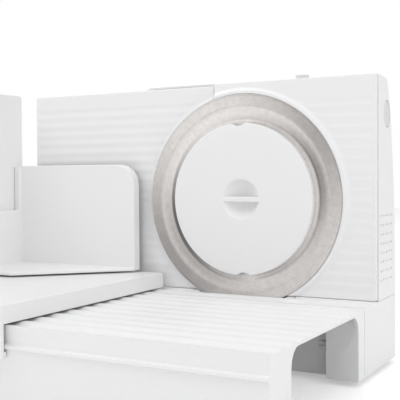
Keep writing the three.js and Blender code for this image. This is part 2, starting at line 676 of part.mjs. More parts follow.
// Ribbed table with an arch through each side, and a rail along its front for the carriage
function baseTable() {
  const ribs = tableRibs([TABLE_FRONT, TABLE_BACK]).reverse();
  const side = [
    [TABLE_BACK, FOOT_PLANE], ...ribs, [TABLE_FRONT, RAIL_Z + RAIL_REACH],
    [TABLE_FRONT - RAIL_REACH, RAIL_Z + RAIL_REACH / 2],
    [TABLE_FRONT - RAIL_REACH, RAIL_Z - RAIL_REACH / 2],
    [TABLE_FRONT, RAIL_Z - RAIL_REACH], [TABLE_FRONT, FOOT_PLANE],
    [TABLE_FRONT + PLASTIC, FOOT_PLANE], [TABLE_FRONT + PLASTIC, TABLE_SKIN],
    [TABLE_BACK - PLASTIC, TABLE_SKIN], [TABLE_BACK - PLASTIC, FOOT_PLANE],
  ];
  const shell = prism('x', side, [BASE_LEFT, BASE_RIGHT]);
  const archOutline = roundedOutline(
    [ARCH.front, ARCH.back], [-THROUGH, ARCH.top], [0, 0, ARCH.corner, ARCH.corner],
  );
  const arch = prism('x', archOutline, [-THROUGH, THROUGH]);
  const walled = [FOOT_PLANE, TABLE_SKIN + OVERLAP];
  const sides = (reach) => [[BASE_LEFT, BASE_LEFT + reach], [BASE_RIGHT - reach, BASE_RIGHT]];
  const flanks = sides(PLASTIC).map((span) =>
    block(span, [TABLE_FRONT, TABLE_BACK], walled).subtract(arch));
  const webs = [ARCH.front - PLASTIC, ARCH.back].flatMap((y) =>
    sides(CORNER_BOX).map((span) => block(span, [y, y + PLASTIC], walled)));
  const soles = sides(CORNER_BOX).map((span) =>
    block(span, [TABLE_FRONT, ARCH.front], [FOOT_PLANE, FOOT_PLANE + PLASTIC]));
  const screwHoles = TABLE_SCREWS.map((x) =>
    disc('y', SCREW_HOLE, [ARCH.back, 0], COARSE, [x, 0, TABLE_SCREW_Z]));
  return cut(joined(shell, ...flanks, ...webs, ...soles), ...screwHoles);
}

// Flat cover under the foot, with air slots
function bottomCover() {
  const plate = block(
    [BASE_LEFT + PLASTIC + GAP, BASE_RIGHT - PLASTIC - GAP],
    [FOOT_FRONT + PLASTIC + GAP, BASE_BACK - PLASTIC - GAP],
    [FOOT_PLANE, FOOT_PLANE + BOTTOM_SHEET],
  );
  const slots = COVER_SLOTS.x.map((x) =>
    block([x, x + COVER_SLOTS.width], [0, COVER_SLOTS.length], [-THROUGH, THROUGH]));
  return cut(plate, ...slots);
}

const rubberFoot = () => turned('z', [
  [0, FLOOR], [FEET.tread, FLOOR], [FEET.radius, FLOOR + FEET.chamfer], [FEET.radius, FOOT_PLANE],
  [0, FOOT_PLANE],
]);

// Short grommet where a lead would enter the foot
function cordGland() {
  const inside = BASE_BACK - PLASTIC - GAP;
  const outside = BASE_BACK + GAP;
  const [front, back] = [BASE_BACK - GLAND.inside, BASE_BACK + GLAND.outside];
  return turned('y', [
    [GLAND_BORE, front], [GLAND.flange, front], [GLAND.flange, inside], [GLAND_NECK, inside],
    [GLAND_NECK, outside], [GLAND.collar, outside], [GLAND.tip, back], [GLAND_BORE, back],
  ], ROUND, GLAND_CENTRE);
}

// Stop plate: ribbed, with a smooth rim that follows the blade, and a stiffening edge behind
function stopPlate() {
  const plan = (inset, span) => {
    const outline = roundedOutline(
      [STOP_LEFT + inset, STOP_RIGHT - inset], [STOP_BOTTOM + inset, STOP_TOP - inset],
      STOP_CORNERS,
    );
    const bladeSpace = disc('y', STOP_ARC + inset, [-THROUGH, THROUGH], FINE);
    return frontPrism(outline, span).subtract(bladeSpace);
  };
  const back = STOP_FRONT + STOP_DEPTH;
  const skin = STOP_FRONT + PLASTIC;
  const ribs = ribCutter([STOP_LEFT + PLASTIC, STOP_RIGHT - STOP_RIM], STOP_FRONT)
    .subtract(disc('y', STOP_ARC + STOP_RIM, [-THROUGH, THROUGH], FINE));
  const socket = block(
    [DRIVE_X - SOCKET.half, DRIVE_X + SOCKET.half], [skin - OVERLAP, back], [SOCKET.low, SOCKET.high],
  );
  return cut(plan(0, [STOP_FRONT, back]), plan(STOP_EDGE, [skin, THROUGH]), ribs).add(socket);
}

// Carrier: an upright behind the stop plate, and a block that rides on two rods round the drum
function plateCarrier() {
  const upright = block(
    [DRIVE_X - CARRIER_UPRIGHT.half, DRIVE_X + CARRIER_UPRIGHT.half],
    [STOP_FRONT + STOP_DEPTH + GAP, CARRIER_FRONT + PLASTIC],
    [CARRIER_UPRIGHT.low, CARRIER_UPRIGHT.high],
  );
  const body = block(
    [DRIVE_X - CARRIER_BODY.half, DRIVE_X + CARRIER_BODY.half], [CARRIER_FRONT, CARRIER_BACK],
    [CARRIER_BODY.low, CARRIER_BODY.high],
  );
  const bore = disc('y', DRUM_BAR + OVERLAP, [0, THROUGH], ROUND, [DRIVE_X, 0, DRIVE_Z]);
  const rodBores = ROD_PLACES.map((x) =>
    disc('y', ROD_RADIUS + RUNNING, [0, THROUGH], ROUND, [x, 0, DRIVE_Z]));
  const pinCentre = [DRIVE_X, CARRIER_MIDDLE, DRIVE_Z];
  const pin = disc('z', CARRIER_PIN.radius, [CARRIER_PIN.tip, CARRIER_PIN.root], ROUND, pinCentre);
  return cut(joined(upright, body), bore, ...rodBores).add(pin);
}

// Spiral drum on the knob's shaft: its groove pushes the carrier's pin
function adjustingDrum() {
  const arc = (from, to, count, radius) => Array.from({ length: count + 1 }, (_, step) =>
    [from + (to - from) * step / count, radius]);
  const outline = polarOutline([
    ...arc(GROOVE_HALF_ANGLE, 360 - GROOVE_HALF_ANGLE, DRUM_STEPS.bar, DRUM_BAR),
    ...arc(-GROOVE_HALF_ANGLE, GROOVE_HALF_ANGLE, DRUM_STEPS.groove, DRUM_GROOVE),
  ]);
  const bar = solidOf(turnedTo('y', twistedBar(outline, DRUM_SPAN, DRUM_LEAD, DRUM_STEPS.turn)));
  const shaftEnd = KNOB_SEAT + KNOB_LENGTH - KNOB_ROOF - KNOB_PLAY - CARRIER_MIDDLE;
  const shaft = disc('y', DRUM_SHAFT, [DRUM_SPAN[1] - OVERLAP, shaftEnd], ROUND);
  const nose = disc('y', DRUM_NOSE.radius, [DRUM_NOSE.end, DRUM_SPAN[0] + OVERLAP], ROUND);
  return joined(bar, shaft, nose);
}

// Grip knob with a fluted edge and a pointer ridge
function thicknessKnob() {
  const boreEnd = KNOB_LENGTH - KNOB_ROOF;
  const bore = DRUM_SHAFT + 2 * PRESS;
  const body = turned('y', [
    [bore, 0], ...KNOB_PROFILE, [0, KNOB_LENGTH], [0, boreEnd], [bore, boreEnd],
  ], MEDIUM);
  const grooves = Array.from({ length: FLUTES.count }, (_, index) => {
    const angle = TURN * (index + 0.5) / FLUTES.count;
    const centre = [FLUTES.circle * Math.cos(angle), 0, FLUTES.circle * Math.sin(angle)];
    return disc('y', FLUTES.radius, [FLUTES.start, THROUGH], SMALL, centre);
  });
  const pointer = block(
    [-POINTER.half, POINTER.half],
    [KNOB_LENGTH - OVERLAP, KNOB_LENGTH + POINTER_RISE],
    [POINTER.from, POINTER.to],
  );
  return cut(body, ...grooves).add(pointer);
}

// Carriage tray: stiffened by a grid of pockets below, with a lip that hooks under the rail
function carriageTray() {
  const width = [TRAY_LEFT, TRAY_RIGHT];
  const slab = block(width, [LIP_FRONT, TRAY_BACK], [TRAY_BOTTOM, TRAY_TOP]);
  const lip = block(width, [LIP_FRONT, LIP_FRONT + LIP.thickness], [LIP.low, TRAY_TOP]);
  const hook = block(width, [LIP_FRONT + OVERLAP, LIP.end], [LIP.low, LIP.high]);
  const { columns, rows, front } = TRAY_GRID;
  const wide = (TRAY_RIGHT - TRAY_LEFT - PLASTIC) / columns;
  const deep = (TRAY_BACK - PLASTIC - front) / rows;
  const pockets = [];
  for (let column = 0; column < columns; column += 1) {
    for (let row = 0; row < rows; row += 1) {
      const x = TRAY_LEFT + PLASTIC + column * wide;
      const y = front + row * deep;
      pockets.push(block([x, x + wide - PLASTIC], [y, y + deep - PLASTIC],
        [-THROUGH, TRAY_TOP - PLASTIC]));
    }
  }
  return cut(joined(slab, lip, hook), ...pockets);
}

// Upright wall on the carriage's left, slotted for the holder's slide
function carriageWall() {
  const sheet = [TABLE_FRONT, TRAY_BACK];
  const low = TRAY_TOP + RUNNING;
  const outline = roundedOutline(sheet, [low, WALL_TOP], WALL_CORNERS);
  const wall = prism('x', outline, [WALL_OUTER, WALL_FACE]);
  const sole = block([TRAY_LEFT, WALL_OUTER + OVERLAP], sheet, [low, TRAY_TOP + WALL_SOLE]);
  const end = (SLOT_Z[1] - SLOT_Z[0]) / 2 - RUNNING;
  const slot = prism('x', roundedOutline(SLOT_Y, SLOT_Z, [end, end, end, end]), [-THROUGH, 0]);
  return cut(joined(wall, sole), slot);
}

// Residue holder: a push plate with a turned-back edge, a side wall and a gusseted floor
function residueHolder() {
  const floorBottom = TRAY_TOP + HOLDER_LIFT;
  const plan = (inset) => roundedOutline(
    [HOLDER_LEFT + inset, HOLDER_RIGHT - inset], [floorBottom, HOLDER_TOP - inset],
    [0, 0, HOLDER_CORNER - inset, HOLDER_SKIN],
  );
  const shell = frontPrism(plan(0), [HOLDER_FRONT, HOLDER_BACK])
    .subtract(frontPrism(plan(PLASTIC), [HOLDER_FRONT + PLASTIC, THROUGH]));
  const inner = HOLDER_LEFT + HOLDER_WALL;
  const sheetBack = HOLDER_FRONT + OVERLAP;
  const side = block([HOLDER_LEFT, inner], [HOLDER_REACH, sheetBack], [floorBottom, HOLDER_STEP]);
  const core = block(
    [HOLDER_LEFT + HOLDER_SKIN, inner - HOLDER_SKIN],
    [HOLDER_REACH + HOLDER_SKIN, HOLDER_FRONT - OVERLAP],
    [-THROUGH, HOLDER_STEP - HOLDER_SKIN],
  );
  const ridge = frontPrism(plan(0), [HOLDER_FRONT - PLASTIC, sheetBack])
    .intersect(block([HOLDER_LEFT, inner], [-THROUGH, 0], [HOLDER_STEP - OVERLAP, THROUGH]));
  const gusset = HOLDER_FRONT - HOLDER_REACH;
  const floorPlan = [
    [HOLDER_LEFT, HOLDER_REACH], [HOLDER_RIGHT - gusset, HOLDER_REACH],
    [HOLDER_RIGHT, HOLDER_FRONT], [HOLDER_RIGHT, sheetBack], [HOLDER_LEFT, sheetBack],
  ];
  const floor = prism('z', floorPlan, [floorBottom, floorBottom + PLASTIC]);
  return joined(shell, side, ridge, floor).subtract(core);
}

// Slide that joins the holder to the wall: a key through the slot and a grip outside
function holderSlide() {
  const centre = [0, SLIDE_Y, (SLOT_Z[0] + SLOT_Z[1]) / 2];
  const key = block(
    [WALL_OUTER - OVERLAP, HOLDER_LEFT - RUNNING], [SLIDE_Y - KEY_HALF, SLIDE_Y + KEY_HALF],
    [SLOT_Z[0] + GAP, SLOT_Z[1] - GAP],
  );
  const profile = GRIP_PROFILE.map(([radius, outside]) => [radius, WALL_OUTER - outside]);
  const face = WALL_OUTER - GAP;
  const grip = turned('x', [
    [0, WALL_OUTER - GRIP_LENGTH], ...profile, [GRIP_FOOT, face], [0, face],
  ], ROUND, centre);
  return grip.add(key);
}

// Blade and what turns with it

const thirds = Array.from({ length: LUGS }, (_, index) => 360 * index / LUGS);
const drivePins = (radius, span) => thirds.map((degrees) => {
  const angle = THREE.MathUtils.degToRad(degrees + PIN_TURN);
  const centre = [PIN_CIRCLE * Math.cos(angle), 0, PIN_CIRCLE * Math.sin(angle)];
  return disc('y', radius, span, COARSE, centre);
});

// Hollow-ground dish: a flat middle, a curved grind and a flatter land out to the edge
function bladeDisc() {
  const profile = [
    [BLADE_BORE, BLADE_SEAT], ...BLADE_FRONT, ...BLADE_REAR,
    [BLADE_BORE, BLADE_SEAT + BLADE_THICKNESS],
  ];
  return cut(turned('y', profile, FINE), ...drivePins(PIN_RADIUS + GAP, [0, THROUGH]));
}

// White cover: finger dimple with a grip bar in front, a lugged boss behind
function bladeCover() {
  const sheetBack = COVER_FRONT + COVER_SHEET;
  const rimBack = BLADE_SEAT - GAP;
  const body = turned('y', [
    [0, COVER_FRONT], [COVER_RADIUS - COVER_CHAMFER, COVER_FRONT],
    [COVER_RADIUS, COVER_FRONT + COVER_CHAMFER], [COVER_RADIUS, rimBack],
    [COVER_RADIUS - COVER_RIM, rimBack], [COVER_RADIUS - COVER_RIM, sheetBack],
    [BOSS_RADIUS, sheetBack], [BOSS_RADIUS, BOSS_BACK], [0, BOSS_BACK],
  ], FINE);
  const ball = (DIMPLE_RADIUS ** 2 + DIMPLE_DEPTH ** 2) / (2 * DIMPLE_DEPTH);
  const dimple = new THREE.SphereGeometry(ball, MEDIUM, ROUND);
  dimple.translate(0, COVER_FRONT + DIMPLE_DEPTH - ball, 0);
  const bar = block(
    [-DIMPLE_RADIUS, DIMPLE_RADIUS], [COVER_FRONT + GAP, BOSS_BACK - LUG.thickness],
    [-GRIP_HALF, GRIP_HALF],
  ).intersect(disc('y', DIMPLE_RADIUS, [-THROUGH, THROUGH]));
  const bites = [1, -1].map((side) => {
    const centre = [-side * BITE.aside, 0, side * (COVER_RADIUS + BITE.outside)];
    return disc('y', BITE.radius, [IN_FRONT, BOSS_BACK], ROUND, centre);
  });
  const lugs = thirds.map((degrees) => {
    const span = [BOSS_BACK - LUG.thickness, BOSS_BACK];
    return sector(BOSS_RADIUS - OVERLAP, LUG.reach, span, [degrees, degrees + LUG.width]);
  });
  return joined(cut(body, solidOf(dimple), ...bites), bar, ...lugs);
}

// Worm wheel with the socket that the cover locks into
function driveWheel() {
  const pitch = 360 / WHEEL_TEETH;
  const root = WHEEL_RADIUS - TOOTH.root;
  const tip = WHEEL_RADIUS + TOOTH.tip;
  const teeth = Array.from({ length: WHEEL_TEETH }, (_, tooth) => {
    const middle = tooth * pitch;
    return [
      [middle - TOOTH.rootHalf * pitch, root], [middle - TOOTH.tipHalf * pitch, tip],
      [middle + TOOTH.tipHalf * pitch, tip], [middle + TOOTH.rootHalf * pitch, root],
    ];
  }).flat();
  const rim = prism('y', polarOutline(teeth), WHEEL_FACE)
    .subtract(disc('y', RIM_BORE, [0, THROUGH], MEDIUM));
  const entries = thirds.map((degrees) => {
    const start = degrees + LUG.turn + (LUG.width - ENTRY_WIDTH) / 2;
    return sector(BOSS_RADIUS + GAP, BLADE_BORE, ENTRY_SPAN, [start, start + ENTRY_WIDTH]);
  });
  const pins = drivePins(PIN_RADIUS, [BLADE_SEAT, ENTRY_SPAN[0] + OVERLAP]);
  return cut(joined(turned('y', HUB_PROFILE, MEDIUM), rim), ...entries).add(joined(...pins));
}

// Motor, gear frame and switches

function gearFrame() {
  const plate = frontPrism(GEAR_FRAME, [FRAME_FRONT, FRAME_BACK]);
  const boss = disc('y', FRAME_BOSS.radius, [FRAME_BACK - OVERLAP, FRAME_BACK + FRAME_BOSS.height]);
  const [inner, outer] = BEARING_BLOCK.x;
  const spans = [[-outer, -inner], [inner, outer]];
  const blocks = spans.map((span) =>
    block(span, [BEARING_BLOCK.front, FRAME_FRONT + OVERLAP], BEARING_BLOCK.z));
  const bores = spans.map(([from, to]) => {
    const span = [from - OVERLAP, to + OVERLAP];
    return disc('x', BEARING_BLOCK.bore, span, ROUND, [0, SHAFT_Y, SHAFT_Z]);
  });
  const holes = FRAME_POSTS.map(([x, z]) => disc('y', SCREW_HOLE, [0, THROUGH], COARSE, [x, 0, z]));
  const spindleBore = disc('y', SPINDLE_RADIUS + 2 * PRESS, [0, THROUGH], MEDIUM);
  return cut(joined(plate, boss, ...blocks), ...bores, ...holes, spindleBore);
}

const bladeSpindle = () =>
  disc('y', SPINDLE_RADIUS, [SPINDLE_FRONT, FRAME_BACK + PLASTIC], MEDIUM);

const spindleClip = () => ring('y', SPINDLE_RADIUS + RUNNING, CLIP.radius, CLIP.span, MEDIUM);

// Motor shaft with its worm; the shaft's axis is the group's X axis
function motorShaft() {
  const { crest, floor, steps } = WORM_THREAD;
  const thread = polarOutline([
    ...crest.map((degrees) => [degrees, WORM_RADIUS + TOOTH.tip]),
    ...floor.map((degrees) => [degrees, WORM_RADIUS - TOOTH.root]),
  ]);
  const lead = Math.PI * GEAR_MODULE;
  const worm = solidOf(turnedTo('x', twistedBar(thread, [-WORM_HALF, WORM_HALF], lead, steps)));
  const [from, to] = COLLAR.span;
  return joined(
    worm,
    disc('x', SHAFT_RADIUS, SHAFT_SPAN),
    disc('x', COLLAR.radius, [-to, -from]),
    disc('x', COLLAR.radius, [from, to]),
  );
}

const bearing = ({ span, radius }) => ring('x', SHAFT_RADIUS + RUNNING / 2, radius, span);

function armature() {
  const { span, radius, slots, slotRadius, slotCircle } = ARMATURE;
  const core = ring('x', SHAFT_RADIUS + PRESS, radius, span, MEDIUM);
  const grooves = Array.from({ length: slots }, (_, index) => {
    const angle = TURN * index / slots;
    const centre = [0, slotCircle * Math.cos(angle), slotCircle * Math.sin(angle)];
    return disc('x', slotRadius, [0, THROUGH], SMALL, centre);
  });
  return cut(core, ...grooves);
}

function commutator() {
  const { radius, span, bars } = COMMUTATOR;
  const drum = ring('x', SHAFT_RADIUS + PRESS, radius, span);
  const slits = Array.from({ length: bars }, (_, index) => {
    const slit = new THREE.BoxGeometry(...COMMUTATOR.slit);
    slit.translate((span[0] + span[1]) / 2, radius, 0);
    slit.rotateX(TURN * index / bars);
    return solidOf(slit);
  });
  return cut(drum, ...slits);
}

function coolingFan() {
  const [front, back] = FAN.span;
  const hub = ring('x', SHAFT_RADIUS + PRESS, FAN.hub, FAN.span);
  const plate = ring('x', FAN.hub - OVERLAP, FAN.disc, [front, front + FAN.sheet]);
  const [depth, length] = FAN.vane;
  const vanes = Array.from({ length: FAN.vanes }, (_, index) => {
    const vane = new THREE.BoxGeometry(...FAN.vane);
    vane.translate(back - depth / 2 - RUNNING, FAN.disc - length / 2 - RUNNING, 0);
    vane.rotateX(TURN * index / FAN.vanes);
    return solidOf(vane);
  });
  return joined(hub, plate, ...vanes);
}

// Laminated stator with two poles, cut for its windings
function motorStator() {
  const rim = ring('x', POLE_WINDOW.bore, MOTOR_RADIUS, STATOR, MEDIUM);
  const along = [STATOR[0] - OVERLAP, STATOR[1] + OVERLAP];
  const windows = [1, -1].flatMap((side) => [1, -1].map((end) =>
    block(along, mirrored(POLE_WINDOW.y, side), mirrored(POLE_WINDOW.z, end))));
  return cut(rim, ...windows);
}

// Round end plate of the motor
const motorEnd = (span, hole) => ring('x', hole, MOTOR_RADIUS, span);

// End plate with two arms that back the brushes
function brushEnd() {
  const { span, hole, arms, armHalf, arm } = BRUSH_END;
  const backs = [1, -1].map((side) => block(arms, [-armHalf, armHalf], mirrored(arm, side)));
  return joined(motorEnd(span, hole), ...backs);
}

const carbonBrush = (side) =>
  block(BRUSH.span, [-BRUSH.half, BRUSH.half], mirrored(BRUSH.reach, side));

function motorCradle() {
  const saddle = block(CRADLE.x, CRADLE.y, [PANEL_BOTTOM + PLASTIC, CRADLE.top]);
  const round = disc('x', MOTOR_RADIUS + 2 * PRESS, [0, THROUGH], MEDIUM, [0, SHAFT_Y, SHAFT_Z]);
  return saddle.subtract(round);
}

function powerButton() {
  const [y, z] = BUTTON_CENTRE;
  const ears = block(
    [BUTTON_BACK, BUTTON_BACK + BUTTON_EARS.thickness],
    [y - BUTTON_EARS.front, y + BUTTON_EARS.back],
    [z - BUTTON_EARS.half, z + BUTTON_EARS.half],
  );
  const stem = disc(
    'x', BUTTON_STEM.radius, [BUTTON_STEM.end, BUTTON_BACK + OVERLAP], ROUND, [0, y, z],
  );
  const body = buttonOval(0, [BUTTON_BACK, PANEL_RIGHT - BUTTON_CHAMFER]);
  return joined(body, buttonOval(-BUTTON_CHAMFER, [BUTTON_BACK, PANEL_RIGHT]), ears, stem);
}

function powerSwitch() {
  const [y, z] = BUTTON_CENTRE;
  const { left, right, front, back, half, well } = POWER_BOX;
  const box = block([left, right], [y - front, y + back], [z - half, z + half]);
  return box.subtract(disc('x', BUTTON_STEM.radius + GAP, [well, THROUGH], ROUND, [0, y, z]));
}

function safetyButton() {
  const [x, y] = SAFETY_CENTRE;
  const [halfWidth, halfDepth] = SAFETY_SIZE.map((size) => size / 2);
  const around = (extra) => [
    [x - halfWidth - extra, x + halfWidth + extra], [y - halfDepth - extra, y + halfDepth + extra],
  ];
  const cap = prism('z', roundedOutline(...around(0), SAFETY_CORNERS), [SAFETY_BOTTOM, SAFETY_TOP]);
  const { wide, low, high } = SAFETY_FLANGE;
  const flange = block(...around(wide), [low, high]);
  const { half, front, back, end } = SAFETY_STEM;
  const stem = block([x - half, x + half], [y + front, y + back], [end, SAFETY_BOTTOM + OVERLAP]);
  return joined(cap, flange, stem);
}

function safetySwitch() {
  const [x, y] = SAFETY_CENTRE;
  const { half, back, low, high, well } = SAFETY_BOX;
  const box = block([x - half, x + half], [CUP_BACK + 2 * GAP, y + back], [low, high]);
  const side = SAFETY_STEM.half + GAP;
  return box.subtract(block(
    [x - side, x + side], [y + SAFETY_STEM.front - GAP, y + SAFETY_STEM.back + GAP], [well, THROUGH],
  ));
}

// A screw along Y with its head behind and a slot across it
function screw(length) {
  const head = disc('y', HEAD_RADIUS, [0, HEAD_HEIGHT], SMALL);
  const shank = disc('y', SCREW_RADIUS, [-length, RUNNING], SMALL);
  const { half, floor } = SCREW_SLOT;
  return cut(head.add(shank), block([-THROUGH, THROUGH], [floor, THROUGH], [-half, half]));
}

// Assembly

place(slicer, 'base_table', baseTable(), whitePlastic);
place(slicer, 'foot_housing', footHousing(), whitePlastic);
place(slicer, 'bottom_cover', bottomCover(), greyPlastic);
place(slicer, 'front_panel', frontPanel(), whitePlastic);
place(slicer, 'housing_body', housingBody(), whitePlastic);
place(slicer, 'rear_cover', rearCover(), whitePlastic);
place(slicer, 'cord_gland', cordGland(), greyPlastic);
place(slicer, 'gear_frame', gearFrame(), zincSteel);
place(slicer, 'blade_spindle', bladeSpindle(), zincSteel);
place(slicer, 'spindle_clip', spindleClip(), zincSteel);
place(slicer, 'power_switch', powerSwitch(), darkPlastic);
place(slicer, 'safety_switch', safetySwitch(), darkPlastic);
place(slicer, 'motor_cradle', motorCradle(), greyPlastic);

const motor = assembly(0, SHAFT_Y, SHAFT_Z);
place(motor, 'motor_stator', motorStator(), laminations);
place(motor, 'motor_brush_end', brushEnd(), darkPlastic);
place(motor, 'motor_fan_end', motorEnd(FAN_END.span, FAN_END.hole), zincSteel);
place(motor, 'carbon_brush_1', carbonBrush(1), carbon);
place(motor, 'carbon_brush_2', carbonBrush(-1), carbon);
Object.entries(BEARINGS).forEach(([name, size]) => place(motor, name, bearing(size), bronze));
place(motor, 'motor_shaft', motorShaft(), zincSteel);
place(motor, 'motor_armature', armature(), laminations);
place(motor, 'motor_commutator', commutator(), copper);
place(motor, 'cooling_fan', coolingFan(), darkPlastic);

const bladeTurn = assembly(0, 0, 0);
place(bladeTurn, 'drive_wheel', driveWheel(), gearPlastic);
place(bladeTurn, 'blade', bladeDisc(), bladeSteel);
place(bladeTurn, 'blade_cover', bladeCover(), whitePlastic);

place(slicer, 'power_button', powerButton(), greyPlastic);
place(slicer, 'safety_button', safetyButton(), greyPlastic);

place(slicer, 'stop_plate', stopPlate(), whitePlastic);
place(slicer, 'plate_carrier', plateCarrier(), greyPlastic);
ROD_PLACES.forEach((x, index) => {
  const rod = disc('y', ROD_RADIUS, [FOOT_FRONT + RUNNING, BASE_BACK - RUNNING], ROUND);
  place(slicer, `guide_rod_${index + 1}`, rod, zincSteel, [x, 0, DRIVE_Z]);
});
const knobTurn = assembly(DRIVE_X, 0, DRIVE_Z);
place(knobTurn, 'adjusting_drum', adjustingDrum(), gearPlastic, [0, CARRIER_MIDDLE, 0]);
place(knobTurn, 'thickness_knob', thicknessKnob(), greyPlastic, [0, KNOB_SEAT, 0]);

place(slicer, 'carriage_tray', carriageTray(), whitePlastic);
place(slicer, 'carriage_wall', carriageWall(), whitePlastic);
place(slicer, 'residue_holder', residueHolder(), whitePlastic);
place(slicer, 'holder_slide', holderSlide(), whitePlastic);

const footPlaces = FEET.x.flatMap((x) => [[x, FEET.front], [x, FEET.back]]);
footPlaces.forEach(([x, y], index) => {
  place(slicer, `rubber_foot_${index + 1}`, rubberFoot(), rubber, [x, y, 0]);
});
FRAME_POSTS.forEach(([x, z], index) => {
  const seat = FRAME_BACK + RUNNING;
  place(slicer, `gear_frame_screw_${index + 1}`, screw(SCREW_LENGTH), zincSteel, [x, seat, z]);
});
COVER_POSTS.forEach(([x, z], index) => {
  const seat = FRAME_BACK + PLASTIC + RUNNING;
  place(slicer, `rear_cover_screw_${index + 1}`, screw(SCREW_LENGTH), zincSteel, [x, seat, z]);
});
TABLE_SCREWS.forEach((x, index) => {
  const centre = [x, TABLE_BACK - PLASTIC - RUNNING, TABLE_SCREW_Z];
  const turn = [Math.PI, 0, 0];
  place(slicer, `table_screw_${index + 1}`, screw(TABLE_SCREW_LENGTH), zincSteel, centre, turn);
});

export default slicer;
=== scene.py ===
# %% [markdown]
# # A food slicer, dressed for the camera
#
# The machine arrives as a frame: every part at its real size, in metres, with Z up. This lesson gives
# those parts their surfaces. Large visible shapes are worked out again as fine grids, plain mouldings
# get soft edges, and every finish is a small network of shader nodes.

# %% Load the frame and keep its size
import json
import math

import bmesh
import bpy
import numpy as np
from mathutils import Matrix, Vector

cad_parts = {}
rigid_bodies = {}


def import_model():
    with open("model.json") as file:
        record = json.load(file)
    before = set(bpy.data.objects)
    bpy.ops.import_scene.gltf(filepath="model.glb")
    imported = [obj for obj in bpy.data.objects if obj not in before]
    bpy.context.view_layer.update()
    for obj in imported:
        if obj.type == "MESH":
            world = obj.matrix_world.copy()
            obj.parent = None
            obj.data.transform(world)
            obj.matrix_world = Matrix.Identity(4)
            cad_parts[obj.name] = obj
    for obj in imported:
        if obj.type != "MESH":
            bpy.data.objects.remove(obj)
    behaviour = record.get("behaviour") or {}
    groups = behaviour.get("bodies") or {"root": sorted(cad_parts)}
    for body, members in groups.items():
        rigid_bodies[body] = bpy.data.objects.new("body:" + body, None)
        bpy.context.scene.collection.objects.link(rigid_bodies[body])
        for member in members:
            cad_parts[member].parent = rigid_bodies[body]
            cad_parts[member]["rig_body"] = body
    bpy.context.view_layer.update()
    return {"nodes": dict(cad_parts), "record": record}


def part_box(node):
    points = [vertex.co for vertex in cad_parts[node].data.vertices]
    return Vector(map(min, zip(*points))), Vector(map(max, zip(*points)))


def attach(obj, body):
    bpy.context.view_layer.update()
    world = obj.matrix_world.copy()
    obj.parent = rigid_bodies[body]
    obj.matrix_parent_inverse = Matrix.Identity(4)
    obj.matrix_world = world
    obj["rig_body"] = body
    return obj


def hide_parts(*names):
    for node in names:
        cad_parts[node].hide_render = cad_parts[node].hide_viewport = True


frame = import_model()

# %% [markdown]
# ## Measuring from the blade
#
# A slicer is built round its blade, so every measure here is in millimetres from the middle of the
# blade's cutting plane: x along the blade, y away from the user, z up. The frame says where that is:
# the blade's box gives x and z of its middle, and its front face is the cutting plane.

# %% The blade's middle, and how far a part reaches from it
blade_low, blade_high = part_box("blade")
HEART = np.array([
    (blade_low.x + blade_high.x) / 2, blade_low.y, (blade_low.z + blade_high.z) / 2,
])


def reach(node):
    """The lowest and highest corner of a part, in millimetres from the blade's middle."""
    low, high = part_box(node)
    return (np.array(low) - HEART) * 1000, (np.array(high) - HEART) * 1000


BLADE_RADIUS = (blade_high.x - blade_low.x) * 500
cover_low, cover_high = reach("blade_cover")
COVER_RADIUS = cover_high[0]
panel_low, panel_high = reach("front_panel")
plate_low, plate_high = reach("stop_plate")
print(f"blade {BLADE_RADIUS:.1f} mm in radius at", HEART.round(4))

# %% [markdown]
# ## The camera
#
# The view was found from the straight edges of the housing and the ellipse of the blade. The camera
# stands to the right of the user, level with the middle of the blade, and looks slightly down.

# %% Camera
CAMERA_PLACE = (290.01, -592.79, 19.76)
CAMERA_YAW, CAMERA_PITCH, CAMERA_ROLL = (math.radians(a) for a in (28.92, -1.74, -0.39))
FOCAL_PIXELS = 816.29
IMAGE_PIXELS = 400
SENSOR = 36.0
CENTRE_OFFSET_PIXELS = 0.5


def new_object(name, data):
    """An object of the scene that shows a mesh, a lamp or a camera."""
    thing = bpy.data.objects.new(name, data)
    bpy.context.scene.collection.objects.link(thing)
    return thing


def camera_axes(yaw, pitch, roll):
    """Right, up and forward directions of a camera turned by yaw, tilted by pitch, then rolled."""
    forward = np.array([
        -math.sin(yaw) * math.cos(pitch), math.cos(yaw) * math.cos(pitch), math.sin(pitch),
    ])
    level = np.array([math.cos(yaw), math.sin(yaw), 0.0])
    above = np.cross(level, forward)
    right = math.cos(roll) * level + math.sin(roll) * above
    return right, np.cross(right, forward), forward


right, up, forward = camera_axes(CAMERA_YAW, CAMERA_PITCH, CAMERA_ROLL)
lens = bpy.data.cameras.new("camera")
lens.sensor_width = SENSOR
lens.lens = FOCAL_PIXELS / IMAGE_PIXELS * SENSOR
lens.shift_x = -CENTRE_OFFSET_PIXELS / IMAGE_PIXELS
lens.clip_start = 0.01
camera = new_object("camera", lens)
camera.matrix_world = Matrix.Translation(HEART + np.array(CAMERA_PLACE) / 1000) @ Matrix(
    np.stack([right, up, -forward], axis=1)
).to_4x4()
bpy.context.scene.camera = camera
print(f"lens {lens.lens:.2f} mm")

# %% [markdown]
# ## Grids of points
#
# Most visible surfaces here are functions of two parameters: steps along an outline, and steps across
# it. Numpy works out all the points at once, and two such grids, a front and a back, close into one
# solid. The faces are only index arithmetic.

# %% Rows and columns of points, and the faces between them
def full_turn(steps):
    """The angles of a full turn in equal steps, as a column."""
    return np.linspace(0, math.tau, steps, endpoint=False)[:, None]


def side_by_side(*values):
    """Columns next to each other; a number or a single row is repeated for all rows of the others."""
    values = [np.atleast_2d(value) for value in values]
    rows = max(len(value) for value in values)
    return np.concatenate([value + np.zeros((rows, 1)) for value in values], axis=1)


